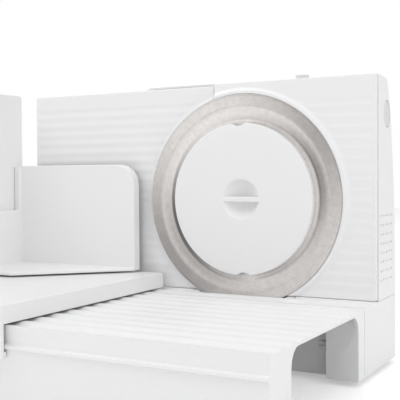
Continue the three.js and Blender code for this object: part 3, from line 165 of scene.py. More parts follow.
def point_grid(x, y, z):
    """A grid of points (x, y, z), where each may be a number, a row, a column or a whole grid."""
    return np.stack(np.broadcast_arrays(x, y, z), axis=-1)


def grid_quads(rows, columns, wrap=False):
    """Quads between neighbouring rows and columns; with wrap the last row meets the first."""
    row = np.arange(rows if wrap else rows - 1)[:, None]
    column = np.arange(columns - 1)[None, :]
    a = row * columns + column
    b = (row + 1) % rows * columns + column
    return np.stack([a, b, b + 1, a + 1], axis=-1).reshape(-1, 4)


def border_quads(rows, columns):
    """Quads along the four edges of a grid, to a copy of it whose points follow its own."""
    a = np.arange(rows - 1) * columns
    c = np.arange(columns - 1)
    last, end, copy = columns - 1, (rows - 1) * columns, rows * columns
    sides = [(a + columns, a), (a + last, a + last + columns), (c, c + 1), (c + end + 1, c + end)]
    return np.concatenate([np.stack([p, q, q + copy, p + copy], axis=-1) for p, q in sides])


def closed_shell(front, back):
    """Points and quads of the solid between two grids of points that have the same rows and columns."""
    rows, columns = front.shape[:2]
    face = grid_quads(rows, columns)
    quads = [face, face[:, ::-1] + rows * columns, border_quads(rows, columns)]
    return np.concatenate([front.reshape(-1, 3), back.reshape(-1, 3)]), np.concatenate(quads)


def joined(*shells):
    """Several sets of points and quads as one."""
    starts = np.cumsum([0] + [len(points) for points, _ in shells[:-1]])
    return (
        np.concatenate([points for points, _ in shells]),
        np.concatenate([quads + start for (_, quads), start in zip(shells, starts)]),
    )


# %% [markdown]
# A finished piece keeps its object at the origin, and its place is in its mesh. Points that meet at a
# pole or on a closed seam are merged, faces are turned outwards, and an edge stays sharp only where
# the surface really has a corner.

# %% Turn points and faces into a piece
CORNER_ANGLE = math.radians(32)
MERGE = 2e-6


def finish_mesh(mesh):
    """Merges equal points, turns the faces outwards and shades smoothly up to the corner angle."""
    work = bmesh.new()
    work.from_mesh(mesh)
    bmesh.ops.remove_doubles(work, verts=work.verts, dist=MERGE)
    bmesh.ops.dissolve_degenerate(work, edges=work.edges, dist=MERGE / 2)
    bmesh.ops.recalc_face_normals(work, faces=work.faces)
    work.to_mesh(mesh)
    work.free()
    mesh.polygons.foreach_set("use_smooth", [True] * len(mesh.polygons))
    mesh.set_sharp_from_angle(angle=CORNER_ANGLE)
    mesh.update()


def make_piece(name, shell, body, slot, *nodes):
    """A piece from quads and points in millimetres from the blade's middle, tied to the machine."""
    points, quads = shell
    mesh = bpy.data.meshes.new(name)
    mesh.from_pydata((HEART + points / 1000).tolist(), [], quads.tolist())
    finish_mesh(mesh)
    stand_for(new_object(name, mesh), body, slot, *nodes)


# %% [markdown]
# ## Shared effects
#
# Moulded plastic is never one flat colour. Its tone drifts a little over a hand's width, its skin has
# a fine grain, and its gloss wanders where it has been wiped. One node group makes all three from
# Object coordinates, and each plastic places it with its own values. The helpers below make one node
# or two each, so that a group reads like a formula.

# %% Node helpers
COLOR, NUMBER, VECTOR = "NodeSocketColor", "NodeSocketFloat", "NodeSocketVector"


def feed(tree, node, inputs):
    """Gives each input of a node its plain value, or links another node's output to it."""
    for key, value in inputs.items():
        if isinstance(value, bpy.types.NodeSocket):
            tree.links.new(value, node.inputs[key])
        else:
            node.inputs[key].default_value = value


def add_node(tree, kind, inputs=None, **settings):
    """A node of a kind, with its settings and its inputs."""
    node = tree.nodes.new(kind)
    for key, value in settings.items():
        setattr(node, key, value)
    feed(tree, node, inputs or {})
    return node


def new_group(name, inputs, outputs):
    """A shader node group: named inputs with their values, a colour as four numbers, and outputs."""
    tree = bpy.data.node_groups.new(name, "ShaderNodeTree")
    for label, value in inputs.items():
        kind = COLOR if isinstance(value, tuple) else NUMBER
        tree.interface.new_socket(label, in_out="INPUT", socket_type=kind).default_value = value
    for label, kind in outputs.items():
        tree.interface.new_socket(label, in_out="OUTPUT", socket_type=kind)
    return tree, add_node(tree, "NodeGroupInput").outputs


# %% What the groups are made of
def calc(tree, operation, *terms):
    """The result of a Math node; each term is a number or another node's output."""
    return add_node(tree, "ShaderNodeMath", dict(enumerate(terms)), operation=operation).outputs[0]


def times(tree, product, *factors):
    """The product of several values."""
    for factor in factors:
        product = calc(tree, "MULTIPLY", product, factor)
    return product


def noise(tree, place, **inputs):
    """The value of a noise texture at a place."""
    return add_node(tree, "ShaderNodeTexNoise", {"Vector": place, **inputs}).outputs["Fac"]


def ramp(tree, value, start, end):
    """Rises from 0 at the start value to 1 at the end value."""
    inputs = {"Value": value, "From Min": start, "From Max": end}
    return add_node(tree, "ShaderNodeMapRange", inputs).outputs[0]


def drifted(tree, value, middle, amount, level):
    """A level, moved by an amount times the distance of a value from its middle."""
    return calc(tree, "MULTIPLY_ADD", calc(tree, "SUBTRACT", value, middle), amount, level)


def scaled(tree, color, level):
    """A colour times a level."""
    return add_node(tree, "ShaderNodeVectorMath", {0: color, "Scale": level}, operation="SCALE").outputs[0]


def bumped(tree, height, strength, distance):
    """A normal that leans with the slope of a height."""
    inputs = {"Height": height, "Strength": strength, "Distance": distance}
    return add_node(tree, "ShaderNodeBump", inputs).outputs[0]


# %% The skin of moulded plastic
NOISE_MIDDLE = 0.5
SPECK_START, SPECK_FULL = 0.66, 0.74
GRAIN_DEPTH = 0.0001
SURFACE = {"Color": COLOR, "Roughness": NUMBER, "Normal": VECTOR}
skin, given = new_group("moulded_skin", {
    "Color": (0.8, 0.8, 0.8, 1), "Drift": 0.02, "Roughness": 0.4, "Wiped": 0.08, "Grain Size": 1800.0,
    "Grain Height": 0.05, "Dust": 0.03,
}, SURFACE)
place = add_node(skin, "ShaderNodeTexCoord").outputs["Object"]
slow = noise(skin, place, Scale=14.0, Detail=2.0)
smear = noise(skin, place, Scale=55.0, Detail=5.0, Roughness=0.6)
grain = noise(skin, place, Scale=given["Grain Size"], Detail=2.0)
specks = noise(skin, place, Scale=900.0, Detail=1.0)
dusted = times(skin, ramp(skin, specks, SPECK_START, SPECK_FULL), given["Dust"])
level = calc(skin, "SUBTRACT", drifted(skin, slow, NOISE_MIDDLE, given["Drift"], 1.0), dusted)
add_node(skin, "NodeGroupOutput", {
    "Color": scaled(skin, given["Color"], level),
    "Roughness": drifted(skin, smear, NOISE_MIDDLE, given["Wiped"], given["Roughness"]),
    "Normal": bumped(skin, grain, given["Grain Height"], GRAIN_DEPTH),
})
print("moulded_skin:", len(skin.nodes), "nodes")

# %% [markdown]
# Metal that was turned on a lathe or ground keeps fine rings round its axis. A second group makes
# rings from the distance to an axis through the blade's middle, broken up by a slow noise.

# %% Turned rings for metal
def from_axis(tree):
    """Object coordinates, their offset from the blade's axis, and the length of that offset."""
    place = add_node(tree, "ShaderNodeTexCoord").outputs["Object"]
    centred = add_node(tree, "ShaderNodeMapping", {"Vector": place, "Location": tuple(-HEART)})
    offset = add_node(
        tree, "ShaderNodeVectorMath", {0: centred.outputs[0], 1: (1, 0, 1)}, operation="MULTIPLY",
    ).outputs[0]
    length = add_node(tree, "ShaderNodeVectorMath", {0: offset}, operation="LENGTH")
    return place, offset, length.outputs["Value"]


CLOUD_SHARE, RING_MIDDLE, RING_DEPTH = 0.35, 0.675, 0.00004
rings, given = new_group("turned_rings", {
    "Color": (0.5, 0.5, 0.5, 1), "Contrast": 0.1, "Roughness": 0.3, "Spread": 0.1, "Ring Pitch": 3000.0,
    "Ring Height": 0.1,
}, SURFACE)
place, _, radius = from_axis(rings)
stretched = times(rings, radius, given["Ring Pitch"])
lines = add_node(
    rings, "ShaderNodeTexNoise", {"W": stretched, "Scale": 1.0, "Detail": 3.0}, noise_dimensions="1D",
).outputs["Fac"]
cloud = noise(rings, place, Scale=60.0, Detail=4.0)
both = calc(rings, "MULTIPLY_ADD", cloud, CLOUD_SHARE, lines)
level = drifted(rings, both, RING_MIDDLE, given["Contrast"], 1.0)
add_node(rings, "NodeGroupOutput", {
    "Color": scaled(rings, given["Color"], level),
    "Roughness": drifted(rings, both, RING_MIDDLE, given["Spread"], given["Roughness"]),
    "Normal": bumped(rings, lines, given["Ring Height"], RING_DEPTH),
})
print("turned_rings:", len(rings.nodes), "nodes")

# %% [markdown]
# A disc that was ground while it turned has scratches that run in circles. They spread light across
# themselves, so in the studio such a disc reflects a bow tie: two darker fans on opposite sides, which sit
# at another angle on the outer land, because that was ground at another slant. The third group paints
# that reflection into the metal's colour. It darkens the colour by the power of a cosine of the angle
# round the axis, so the fans are a painted reflection and turn with the disc. The two fans differ in
# angle, width and depth. The shoulder between the grind and the land, and the ring beside the cover,
# stay clear of them, and on its right side that ring gets a painted highlight, a painted reflection of
# the cover's lit rim. The group also adds the faint clouds that grinding leaves, and a painted shade: a
# grey line of shadow where the cover's rim meets the steel, strongest on the left.

# %% Painted reflection fans and highlight, clouds, and the painted contact shadow on the steel
FAN_TURN = (math.radians(20), math.radians(45)), (math.radians(38), math.radians(38))
FAN_POWER = (4.0, 2.5), (4.0, 2.0)
FAN_DEPTH = (0.55, 0.31), (0.43, 0.46)
LAND_ZONE, SHOULDER_ZONE = (0.0745, 0.0775), (0.0705, 0.0745)
HIGHLIGHT_ZONE, SHADE_LINE_ZONE = (0.0662, 0.0647), (0.0676, 0.0664)
SHOULDER_CLEAR, HIGHLIGHT_GAIN, HIGHLIGHT_POWER = 0.65, 0.5, 1.5
SHADE_LINE_TURN, SHADE_LINE_POWER = math.radians(200), 2.0


def cosine_from(tree, angle, start):
    """The cosine of an angle counted from a start angle."""
    return calc(tree, "COSINE", calc(tree, "SUBTRACT", angle, start))


def one_side(tree, angle, middle, power):
    """One side of the disc: the part of the cosine over zero, to a power."""
    return calc(tree, "POWER", calc(tree, "MAXIMUM", cosine_from(tree, angle, middle), 0.0), power)


def rest_of(tree, share):
    """One minus a share."""
    return calc(tree, "SUBTRACT", 1.0, share)


def blend(tree, pairs, second, share):
    """Mixes four values: first and second fan of the grind, then first and second fan of the land."""
    grind, land = (calc(tree, "MULTIPLY_ADD", second, pair[1] - pair[0], pair[0]) for pair in pairs)
    return calc(tree, "MULTIPLY_ADD", share, calc(tree, "SUBTRACT", land, grind), grind)


fans, given = new_group("painted_reflection_fans", {
    "Color": (0.5, 0.5, 0.5, 1), "Depth": 1.0, "Clouds": 0.1, "Contact Shade": 0.4,
}, {"Color": COLOR})
place, offset, radius = from_axis(fans)
split = add_node(fans, "ShaderNodeSeparateXYZ", {0: offset}).outputs
angle = calc(fans, "ARCTAN2", split["Z"], split["X"])
second = calc(fans, "MULTIPLY_ADD", cosine_from(fans, angle, FAN_TURN[0][0]), -0.5, 0.5)
on_land = ramp(fans, radius, *LAND_ZONE)
fan_turn, fan_power, fan_depth = (
    blend(fans, pairs, second, on_land) for pairs in (FAN_TURN, FAN_POWER, FAN_DEPTH)
)
# The bow tie is a painted reflection: darker fans painted into the steel's colour by the angle round the
# axis.
across = calc(fans, "ABSOLUTE", cosine_from(fans, angle, fan_turn))
painted_bow_tie = times(fans, calc(fans, "POWER", across, fan_power), fan_depth, given["Depth"])
shoulder = times(fans, ramp(fans, radius, *SHOULDER_ZONE), rest_of(fans, on_land))
beside_cover = ramp(fans, radius, *HIGHLIGHT_ZONE)
kept = calc(fans, "MULTIPLY_ADD", shoulder, -SHOULDER_CLEAR, 1.0)
kept = times(fans, kept, rest_of(fans, beside_cover))
painted_fan_tone = rest_of(fans, times(fans, painted_bow_tie, kept))
# Painted highlight: the ring beside the cover is lightened on its right side, a painted reflection of the
# cover's lit rim.
painted_highlight = times(fans, beside_cover, one_side(fans, angle, 0.0, HIGHLIGHT_POWER))
painted_fan_tone = times(fans, painted_fan_tone, calc(fans, "MULTIPLY_ADD", painted_highlight, HIGHLIGHT_GAIN, 1.0))
clouds = noise(fans, place, Scale=260.0, Detail=4.0, Roughness=0.7)
cloud_tone = drifted(fans, clouds, NOISE_MIDDLE, given["Clouds"], 1.0)
# Painted shade: a grey line of shadow in a narrow ring where the cover's rim meets the steel, strongest on
# the left.
shaded_side = one_side(fans, angle, SHADE_LINE_TURN, SHADE_LINE_POWER)
painted_contact_shade = times(fans, ramp(fans, radius, *SHADE_LINE_ZONE), shaded_side, given["Contact Shade"])
whole = times(fans, painted_fan_tone, cloud_tone, rest_of(fans, painted_contact_shade))
add_node(fans, "NodeGroupOutput", {"Color": scaled(fans, given["Color"], whole)})
print("painted_reflection_fans:", len(fans.nodes), "nodes")

# %% [markdown]
# ## The finishes
#
# Each finish is one Principled shader fed by a group. What is the same all over the surface, such as
# a metal's metalness or the clear skin of glossy plastic, is set on the shader itself.

# %% A finish is a group's values and a shader's values
finishes = {}


def make_finish(name, group, color, roughness, values, **shader):
    """A material whose colour, roughness and normal come from a group placed with its own values."""
    material = bpy.data.materials.new(name)
    material.use_nodes = True
    tree = material.node_tree
    values = {"Color": (*color, 1), "Roughness": roughness, **values}
    effect = add_node(tree, "ShaderNodeGroup", values, node_tree=group).outputs
    feed(tree, tree.nodes["Principled BSDF"], {
        "Base Color": effect["Color"], "Roughness": effect["Roughness"], "Normal": effect["Normal"],
        **shader,
    })
    finishes[name] = material


def plastic(name, color, roughness, **values):
    """A plastic with a moulded skin."""
    make_finish(name, skin, color, roughness, values)


def metal(name, color, roughness, **values):
    """A metal with turned rings."""
    make_finish(name, rings, color, roughness, values, Metallic=1.0)


plastic("white_plastic", (0.80, 0.80, 0.805), 0.38, Drift=0.02)
plastic("grey_plastic", (0.665, 0.67, 0.675), 0.42, Drift=0.04)
plastic("gear_plastic", (0.70, 0.66, 0.56), 0.5, Drift=0.08)
plastic("dark_plastic", (0.045, 0.048, 0.055), 0.55, Drift=0.2, Dust=-0.6)
plastic("rubber", (0.022, 0.022, 0.024), 0.8, Drift=0.3, Dust=-1.5)
plastic("carbon", (0.03, 0.03, 0.032), 0.7, Drift=0.3)
metal("blade_steel", (0.60, 0.575, 0.56), 0.26, Contrast=0.16)
metal("zinc_steel", (0.42, 0.43, 0.45), 0.38, Contrast=0.3)
metal("laminations", (0.16, 0.165, 0.17), 0.5, Contrast=0.5)
metal("copper", (0.60, 0.24, 0.10), 0.32, Contrast=0.3)
metal("bronze", (0.40, 0.24, 0.09), 0.48, Contrast=0.4)

# %% Painted reflection fans, highlight and shadow on the blade's steel, and every part in its finish
tree = finishes["blade_steel"].node_tree
steel_color = tree.nodes["Principled BSDF"].inputs["Base Color"]
# The steel's colour passes through the painted reflection fans, the painted highlight and the painted
# contact shadow.
painted_reflection = add_node(tree, "ShaderNodeGroup", {
    "Color": steel_color.links[0].from_socket, "Depth": 1.0, "Clouds": 0.4, "Contact Shade": 0.75,
}, node_tree=fans)
tree.links.new(painted_reflection.outputs["Color"], steel_color)
node_slots = {row["node"]: row["material_slot"] for row in frame["record"]["subparts"]}
for name, node in frame["nodes"].items():
    node.data.materials.clear()
    node.data.materials.append(finishes[node_slots[name]])
print(len(finishes), "finishes on", len(node_slots), "nodes")


# %% Tie a piece to the machine
def stand_for(piece, body, slot, *nodes):
    """Ties a piece to its body, gives it the finish named by its slot, and hides what it stands for."""
    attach(piece, body)
    if nodes:
        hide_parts(*nodes)
    piece.data.materials.clear()
    piece.data.materials.append(finishes[slot])
    print(f"{piece.name}: {len(piece.data.polygons)} faces")


# %% [markdown]
# ## The blade
#
# The blade is pressed from thin steel and ground hollow: a flat middle, a smooth concave grind and a
# narrow land that runs out to the edge. A profile turned about the axis gives all of it. The edge
# carries a fine row of teeth, so the points near it are lifted and dropped once per tooth.

# %% The grind and the teeth
GRIND_START, LAND_START, GRIND_POWER = 64.0, 76.5, 1.5
SEAT, SHEET, LAND_HEIGHT = 4.5, 1.2, 1.4
BORE = 22.3
TEETH, TOOTH_STEPS = 310, 4
TOOTH_LENGTH, TOOTH_DEPTH, TOOTH_ROUNDING = 1.3, 0.22, 0.6


def blade_front(radius):
    """Height of the front: flat, then falling with the power 1.5 of the way, then a straight land."""
    inward = np.clip((LAND_START - radius) / (LAND_START - GRIND_START), 0, 1)
    grind = LAND_HEIGHT + (SEAT - LAND_HEIGHT) * inward ** GRIND_POWER
    land = LAND_HEIGHT * (BLADE_RADIUS - radius) / (BLADE_RADIUS - LAND_START)
    return np.where(radius < LAND_START, grind, land)


def polar_grid(angles, radius, height):
    """Points (r cos a, h, r sin a) for angles down the rows, and radii and heights along the columns."""
    return point_grid(radius * np.cos(angles), height, radius * np.sin(angles))


def lathe_shell(points):
    """A surface that closes on itself round the axis, from rows of points."""
    return points.reshape(-1, 3), grid_quads(*points.shape[:2], wrap=True)


around = full_turn(TEETH * TOOTH_STEPS)
front_radii = np.concatenate([
    np.linspace(BORE, GRIND_START, 12), np.linspace(GRIND_START, LAND_START, 15)[1:],
    np.linspace(LAND_START, BLADE_RADIUS - TOOTH_LENGTH, 8)[1:],
    np.linspace(BLADE_RADIUS - TOOTH_LENGTH, BLADE_RADIUS, 4)[1:],
])
back_profile = np.array([
    [84.2, 0.35], [78.5, 1.9], [74.6, 3.2], [70.8, 4.6], [68.2, 5.35], [64.6, SEAT + SHEET],
    [BORE, SEAT + SHEET],
])
near_edge = np.clip((front_radii - BLADE_RADIUS + TOOTH_LENGTH) / TOOTH_LENGTH, 0, 1)
tooth = TOOTH_DEPTH * near_edge * (1 - TOOTH_ROUNDING * near_edge) * (1 - np.cos(TEETH * around))
blade_points = polar_grid(
    around, np.concatenate([front_radii, back_profile[:, 0], [BORE]]),
    side_by_side(blade_front(front_radii) + tooth, back_profile[:, 1], SEAT),
)
make_piece("blade_ground", lathe_shell(blade_points), "cutter", "blade_steel", "blade")

# %% [markdown]
# ## The blade's cover
#
# A white disc holds the blade. Its face is one polar height field: flat, rounded at the rim, and sunk
# in the middle into a part of a sphere where the fingers go. Two shallow bites at its rim let a
# fingernail in. The outline's radius is the smaller of the disc's and the bite's, blended over a few
# tenths so that no corner is sharp.

# %% The cover's outline and face
RIM_ROUND, RIM_BEVEL, RIM_WIDTH = 0.8, 0.3, 2.2
DISH_RADIUS, DISH_DEPTH, DISH_BLEND = 16.3, 8.5, 0.5
BITE_RADIUS, BITE_OFFSET, BITE_BEYOND, BITE_BLEND = 9.7, 2.3, 7.3, 0.5
BOSS_RADIUS, BOSS_BACK, LUG_REACH, LUG_DEPTH = 19.5, 10.0, 21.8, 1.4
LUG_PITCH, LUG_SPAN = 120, 36
cover_front, cover_rim_back, cover_sheet_back = cover_low[1], 4.2, 1.2
dish_ball = (DISH_RADIUS ** 2 + DISH_DEPTH ** 2) / (2 * DISH_DEPTH)


def softer_min(a, b, width):
    """The smaller of two values, with the corner between them rounded over a width."""
    h = np.clip(0.5 + 0.5 * (b - a) / width, 0, 1)
    return b * (1 - h) + a * h - width * h * (1 - h)


def rounded(distance, radius):
    """How far a rounded edge has fallen back at a distance inside it: a quarter of a circle."""
    t = np.clip(radius - distance, 0, radius)
    return radius - np.sqrt(np.clip(radius ** 2 - t ** 2, 0, None))


def cover_outline(angle):
    """Radius of the cover at an angle: the disc's, or where the ray meets one of the two bites."""
    reach_out = np.full_like(angle, COVER_RADIUS)
    for side in (1, -1):
        bite_x, bite_z = -side * BITE_OFFSET, side * (COVER_RADIUS + BITE_BEYOND)
        along = bite_x * np.cos(angle) + bite_z * np.sin(angle)
        across = bite_x * np.sin(angle) - bite_z * np.cos(angle)
        inside = (np.abs(across) < BITE_RADIUS) & (along > 0)
        depth = np.sqrt(np.clip(BITE_RADIUS ** 2 - across ** 2, 0, None))
        edge = np.where(inside, along - depth, COVER_RADIUS + BITE_RADIUS)
        reach_out = softer_min(reach_out, edge, BITE_BLEND)
    return reach_out


def cover_face(radius, outline):
    """Height of the face: the deeper of the plate and the sphere, and a quarter circle at the rim."""
    sphere = cover_front + DISH_DEPTH - dish_ball + np.sqrt(np.clip(dish_ball ** 2 - radius ** 2, 0, None))
    face = -softer_min(-cover_front, -sphere, DISH_BLEND)
    return face + rounded(outline - radius, RIM_ROUND)


around = full_turn(720)
outline = cover_outline(around)
face_steps = np.concatenate([
    np.linspace(0, 14.5, 20), np.linspace(14.5, 18.5, 15)[1:], np.linspace(18.5, 56, 8)[1:],
])
rim_steps = RIM_ROUND * np.sin(np.linspace(0, math.pi / 2, 9))
face_radii = side_by_side(face_steps, outline - RIM_ROUND + rim_steps)
lug = np.where(np.degrees(around) % LUG_PITCH < LUG_SPAN, LUG_REACH, BOSS_RADIUS)
cover_radii = side_by_side(
    face_radii, outline, outline - RIM_BEVEL, outline - RIM_WIDTH, outline - RIM_WIDTH,
    BOSS_RADIUS, BOSS_RADIUS, lug, lug, 0,
)
cover_heights = side_by_side(cover_face(face_radii, outline), [
    cover_rim_back - RIM_BEVEL, cover_rim_back, cover_rim_back, cover_sheet_back,
    cover_sheet_back, BOSS_BACK - LUG_DEPTH, BOSS_BACK - LUG_DEPTH, BOSS_BACK, BOSS_BACK,
])
cover_points = polar_grid(around, cover_radii, cover_heights)
print("cover grid:", cover_points.shape[:2])

# %% [markdown]
# The bar across the hollow is what the fingers turn. Its section is a tall arch, carried across the
# hollow and ended where the hollow ends.

# %% The grip bar, and the whole cover
BAR_LOW, BAR_HIGH, BAR_ROUND = -2.05, 2.05, 0.7
BAR_BACK, BAR_SUNK = 8.5, 0.3
bar_front = cover_front + BAR_SUNK
corner = np.linspace(0, math.pi / 2, 7)
into, out = BAR_ROUND * (1 - np.cos(corner)), BAR_ROUND * (1 - np.sin(corner))
bar_z = np.concatenate([[BAR_LOW], BAR_LOW + into, BAR_HIGH - out, [BAR_HIGH]])
bar_y = np.concatenate([[BAR_BACK], bar_front + out, bar_front + into, [BAR_BACK]])
bar_x = np.linspace(-1, 1, 41)[:, None] * np.sqrt(DISH_RADIUS ** 2 - bar_z ** 2)
bar = closed_shell(point_grid(bar_x, bar_y, bar_z), point_grid(bar_x, BAR_BACK, bar_z))
make_piece(
    "blade_cover_moulding", joined(lathe_shell(cover_points), bar), "cutter_cover", "white_plastic",
    "blade_cover",
)

# %% [markdown]
# ## The front panel
#
# The panel is a plate with a stack of wide shallow flutes. A guard ring stands up round the blade, with
# a narrow ledge inside it, behind the blade's edge. Each line of points starts there. Beside the blade
# it runs level to the panel's edge, so that the crests between the flutes lie exactly on lines of
# points. Above the flutes the lines fan out to the rest of the edge.
#
# A flute is lopsided: a short slope rises from its floor to the crest below it, a long one to the crest
# above it, and its ends run out with a square. The short slopes face the light, so each shows as a soft
# pale band. The panel ends a little before the housing's corner, and the step between them draws a fine
# dark line.

# %% Flutes, ribs and smooth steps
RIB_PITCH, RIB_CREST, RIBS_BELOW, RIBS_ABOVE, RIB_STEPS = 8.05, 0.5, 9, 10, 16
CREST_SHARE, SLOPE_SHARE = 0.15, 0.35
RIB_LOW, RIB_HIGH = RIB_CREST - RIBS_BELOW * RIB_PITCH, RIB_CREST + RIBS_ABOVE * RIB_PITCH
rib_lines = np.linspace(RIB_LOW, RIB_HIGH, (RIBS_BELOW + RIBS_ABOVE) * RIB_STEPS + 1)
FLUTE_DEPTH, STOP_RIB_DEPTH = 0.34, 0.25
EDGE_ROLL = 0.6
PANEL_BORDER = 2.2


def smooth_step(value, low, high):
    """Zero below low, one above high, and a smooth S between."""
    t = np.clip((value - low) / (high - low), 0, 1)
    return t * t * (3 - 2 * t)


def in_ribs(z):
    """True between the lowest and the highest crest."""
    return (z > RIB_LOW) & (z < RIB_HIGH)


def flute_drop(z, from_end):
    """Depth of the flutes: a lopsided triangle wave, the lesser of a short and of a long slope."""
    shifted = z - RIB_CREST + CREST_SHARE * RIB_PITCH
    way = np.mod(shifted / RIB_PITCH, 1)
    wave = np.minimum(way / SLOPE_SHARE, (1 - way) / (1 - SLOPE_SHARE))
    into_end = 1 - np.clip(2 * from_end / RIB_PITCH, 0, 1)
    fluted = in_ribs(z + CREST_SHARE * RIB_PITCH)
    return FLUTE_DEPTH * np.where(fluted, wave * (1 - into_end ** 2), 0)


def rib_drop(z):
    """Depth of soft ribs: half of one minus a cosine, once per pitch."""
    wave = (1 - np.cos(math.tau * (z - RIB_CREST) / RIB_PITCH)) / 2
    return STOP_RIB_DEPTH * np.where(in_ribs(z), wave, 0)


# %% The panel's edge, and how far a point lies inside it
GUARD_BORE, GUARD_CREST, GUARD_SLOPE, GUARD_FOOT = 85.2, 0.4, 87.4, 90.5
LEDGE_BORE, LEDGE_FRONT, LEDGE_GAP, BORE_ROUND = 84.2, 1.1, 0.01, 0.3
PANEL_FACE, PANEL_BACK = 2.0, 5.0
LOW_CORNER, TOP_CORNER = 2.0, 3.0
PLATE_GAP, RIM_SHOWN = 1.6, 0.9
left, right_side = plate_high[0] + PLATE_GAP, panel_high[0] - RIM_SHOWN
low, high = panel_low[2], panel_high[2]


def right_edge(z):
    """The panel's right edge: straight, with a quarter circle at each end."""
    return right_side - rounded(z - low, LOW_CORNER) - rounded(high - z, TOP_CORNER)


def inside_panel(x, z):
    """Distance to the nearest edge, or to the corner's arc where a point is in a round corner."""
    distance = np.minimum.reduce([right_side - x, high - z, z - low, x - left])
    for edge_z, radius, side in ((low, LOW_CORNER, -1), (high, TOP_CORNER, 1)):
        along, above = x - (right_side - radius), side * (z - edge_z) + radius
        in_corner = (along > 0) & (above > 0)
        distance = np.where(in_corner, radius - np.hypot(along, above), distance)
    return np.maximum(distance, 0)


# %% Lines of points from the guard ring to the edge
level_z = np.concatenate([
    low + np.array([0, 0.1, 0.3, 0.6, 1.0, 1.5, 2.0]), np.linspace(low + 2, RIB_LOW, 5)[1:-1], rib_lines,
])
level_angles = np.arcsin(level_z / GUARD_FOOT)
ring_start = -math.asin(-low / GUARD_BORE)
ring_end = math.pi - math.acos(-left / GUARD_BORE)
corner_angle = math.atan2(high, left)
cut_angles = np.linspace(ring_start, level_angles[0], 14)[:-1]
fan_angles = np.linspace(level_angles[-1], corner_angle, 90)[1:]
left_angles = np.linspace(corner_angle, ring_end, 8)[1:]
panel_angles = np.concatenate([cut_angles, level_angles, fan_angles, left_angles])[:, None]
side_z = np.linspace(RIB_HIGH, high, 60)[1:]
top_x = np.linspace(right_side - TOP_CORNER, left, 40)[1:]
edge_x = np.append(right_edge(side_z), top_x)
edge_z = np.append(side_z, np.full_like(top_x, high))
path_length = np.append(0, np.cumsum(np.hypot(np.diff(edge_x), np.diff(edge_z))))
SIDE_FANS = 24
fan_place = np.interp(
    fan_angles, fan_angles[[0, SIDE_FANS, -1]], path_length[[0, len(side_z) - 1, -1]],
)
outer_x = np.concatenate([
    low / np.tan(cut_angles), right_edge(level_z), np.interp(fan_place, path_length, edge_x),
    np.full_like(left_angles, left),
])[:, None]
outer_z = np.concatenate([
    np.full_like(cut_angles, low), level_z, np.interp(fan_place, path_length, edge_z),
    left * np.tan(left_angles),
])[:, None]
guard_width = GUARD_FOOT - GUARD_BORE
guard_share = np.clip((np.hypot(outer_x, outer_z) - GUARD_BORE) / guard_width, 0, 1)
guard_steps = np.array([0, 0.15, 0.3, 0.5, 0.8, 1.2, 1.6, 2.0, 2.5, 3.1, 3.8, 4.4, guard_width])
near = side_by_side(LEDGE_BORE, GUARD_BORE - LEDGE_GAP, GUARD_BORE + guard_steps * guard_share)
near_x, near_z = near * np.cos(panel_angles), near * np.sin(panel_angles)
foot_x, foot_z = near_x[:, -1:], near_z[:, -1:]

# %% Closer steps near both ends of each line
NEAR_AND_FAR, TINY = 21.2, 1e-9
near_steps = np.array([0.3, 0.6, 1.0, 1.5, 2.0, 2.6, 3.2, 3.8, 4.5, 5.5, 7.0, 9.0, 11.5])
far_steps = np.array([
    9.6, 8.9, 8.4, 7.9, 7.3, 6.7, 6.1, 5.5, 4.9, 4.4, 4.0, 3.0, 2.0, 1.0, 0.6, 0.4, 0.2, 0.08, 0,
])
length = np.hypot(outer_x - foot_x, outer_z - foot_z)
scale = np.minimum(1, length / NEAR_AND_FAR)
near_end, far_start = near_steps[-1] * scale, length - far_steps[0] * scale
along = side_by_side(
    near_steps * scale, near_end + (far_start - near_end) * np.linspace(0, 1, 10)[1:-1],
    length - far_steps * scale,
) / np.maximum(length, TINY)
panel_x = side_by_side(near_x, foot_x + (outer_x - foot_x) * along)
panel_z = side_by_side(near_z, foot_z + (outer_z - foot_z) * along)

# %% Their heights
panel_radii = np.hypot(panel_x, panel_z)
guard_height = GUARD_CREST + (PANEL_FACE - GUARD_CREST) * smooth_step(panel_radii, GUARD_SLOPE, GUARD_FOOT)
guard_height = guard_height + rounded(panel_radii - GUARD_BORE, BORE_ROUND)
guard_height = np.where(panel_radii < GUARD_BORE - LEDGE_GAP / 2, LEDGE_FRONT, guard_height)
from_end = np.minimum(panel_radii - GUARD_FOOT, right_side - PANEL_BORDER - panel_x)
fluted = flute_drop(panel_z, np.maximum(from_end, 0)) * (panel_x > 0)
panel_y = guard_height + fluted + rounded(inside_panel(panel_x, panel_z), EDGE_ROLL)
panel_shell = closed_shell(
    point_grid(panel_x, panel_y, panel_z), point_grid(panel_x, PANEL_BACK, panel_z),
)
print("panel grid:", panel_x.shape)

# %% [markdown]
# Behind the blade the panel drops into a shallow round well, with a hole in its floor for the hub. To
# the left the stop plate takes the ring's place, so there the well's floor ends as a plain apron, and
# at the table it is cut off straight.

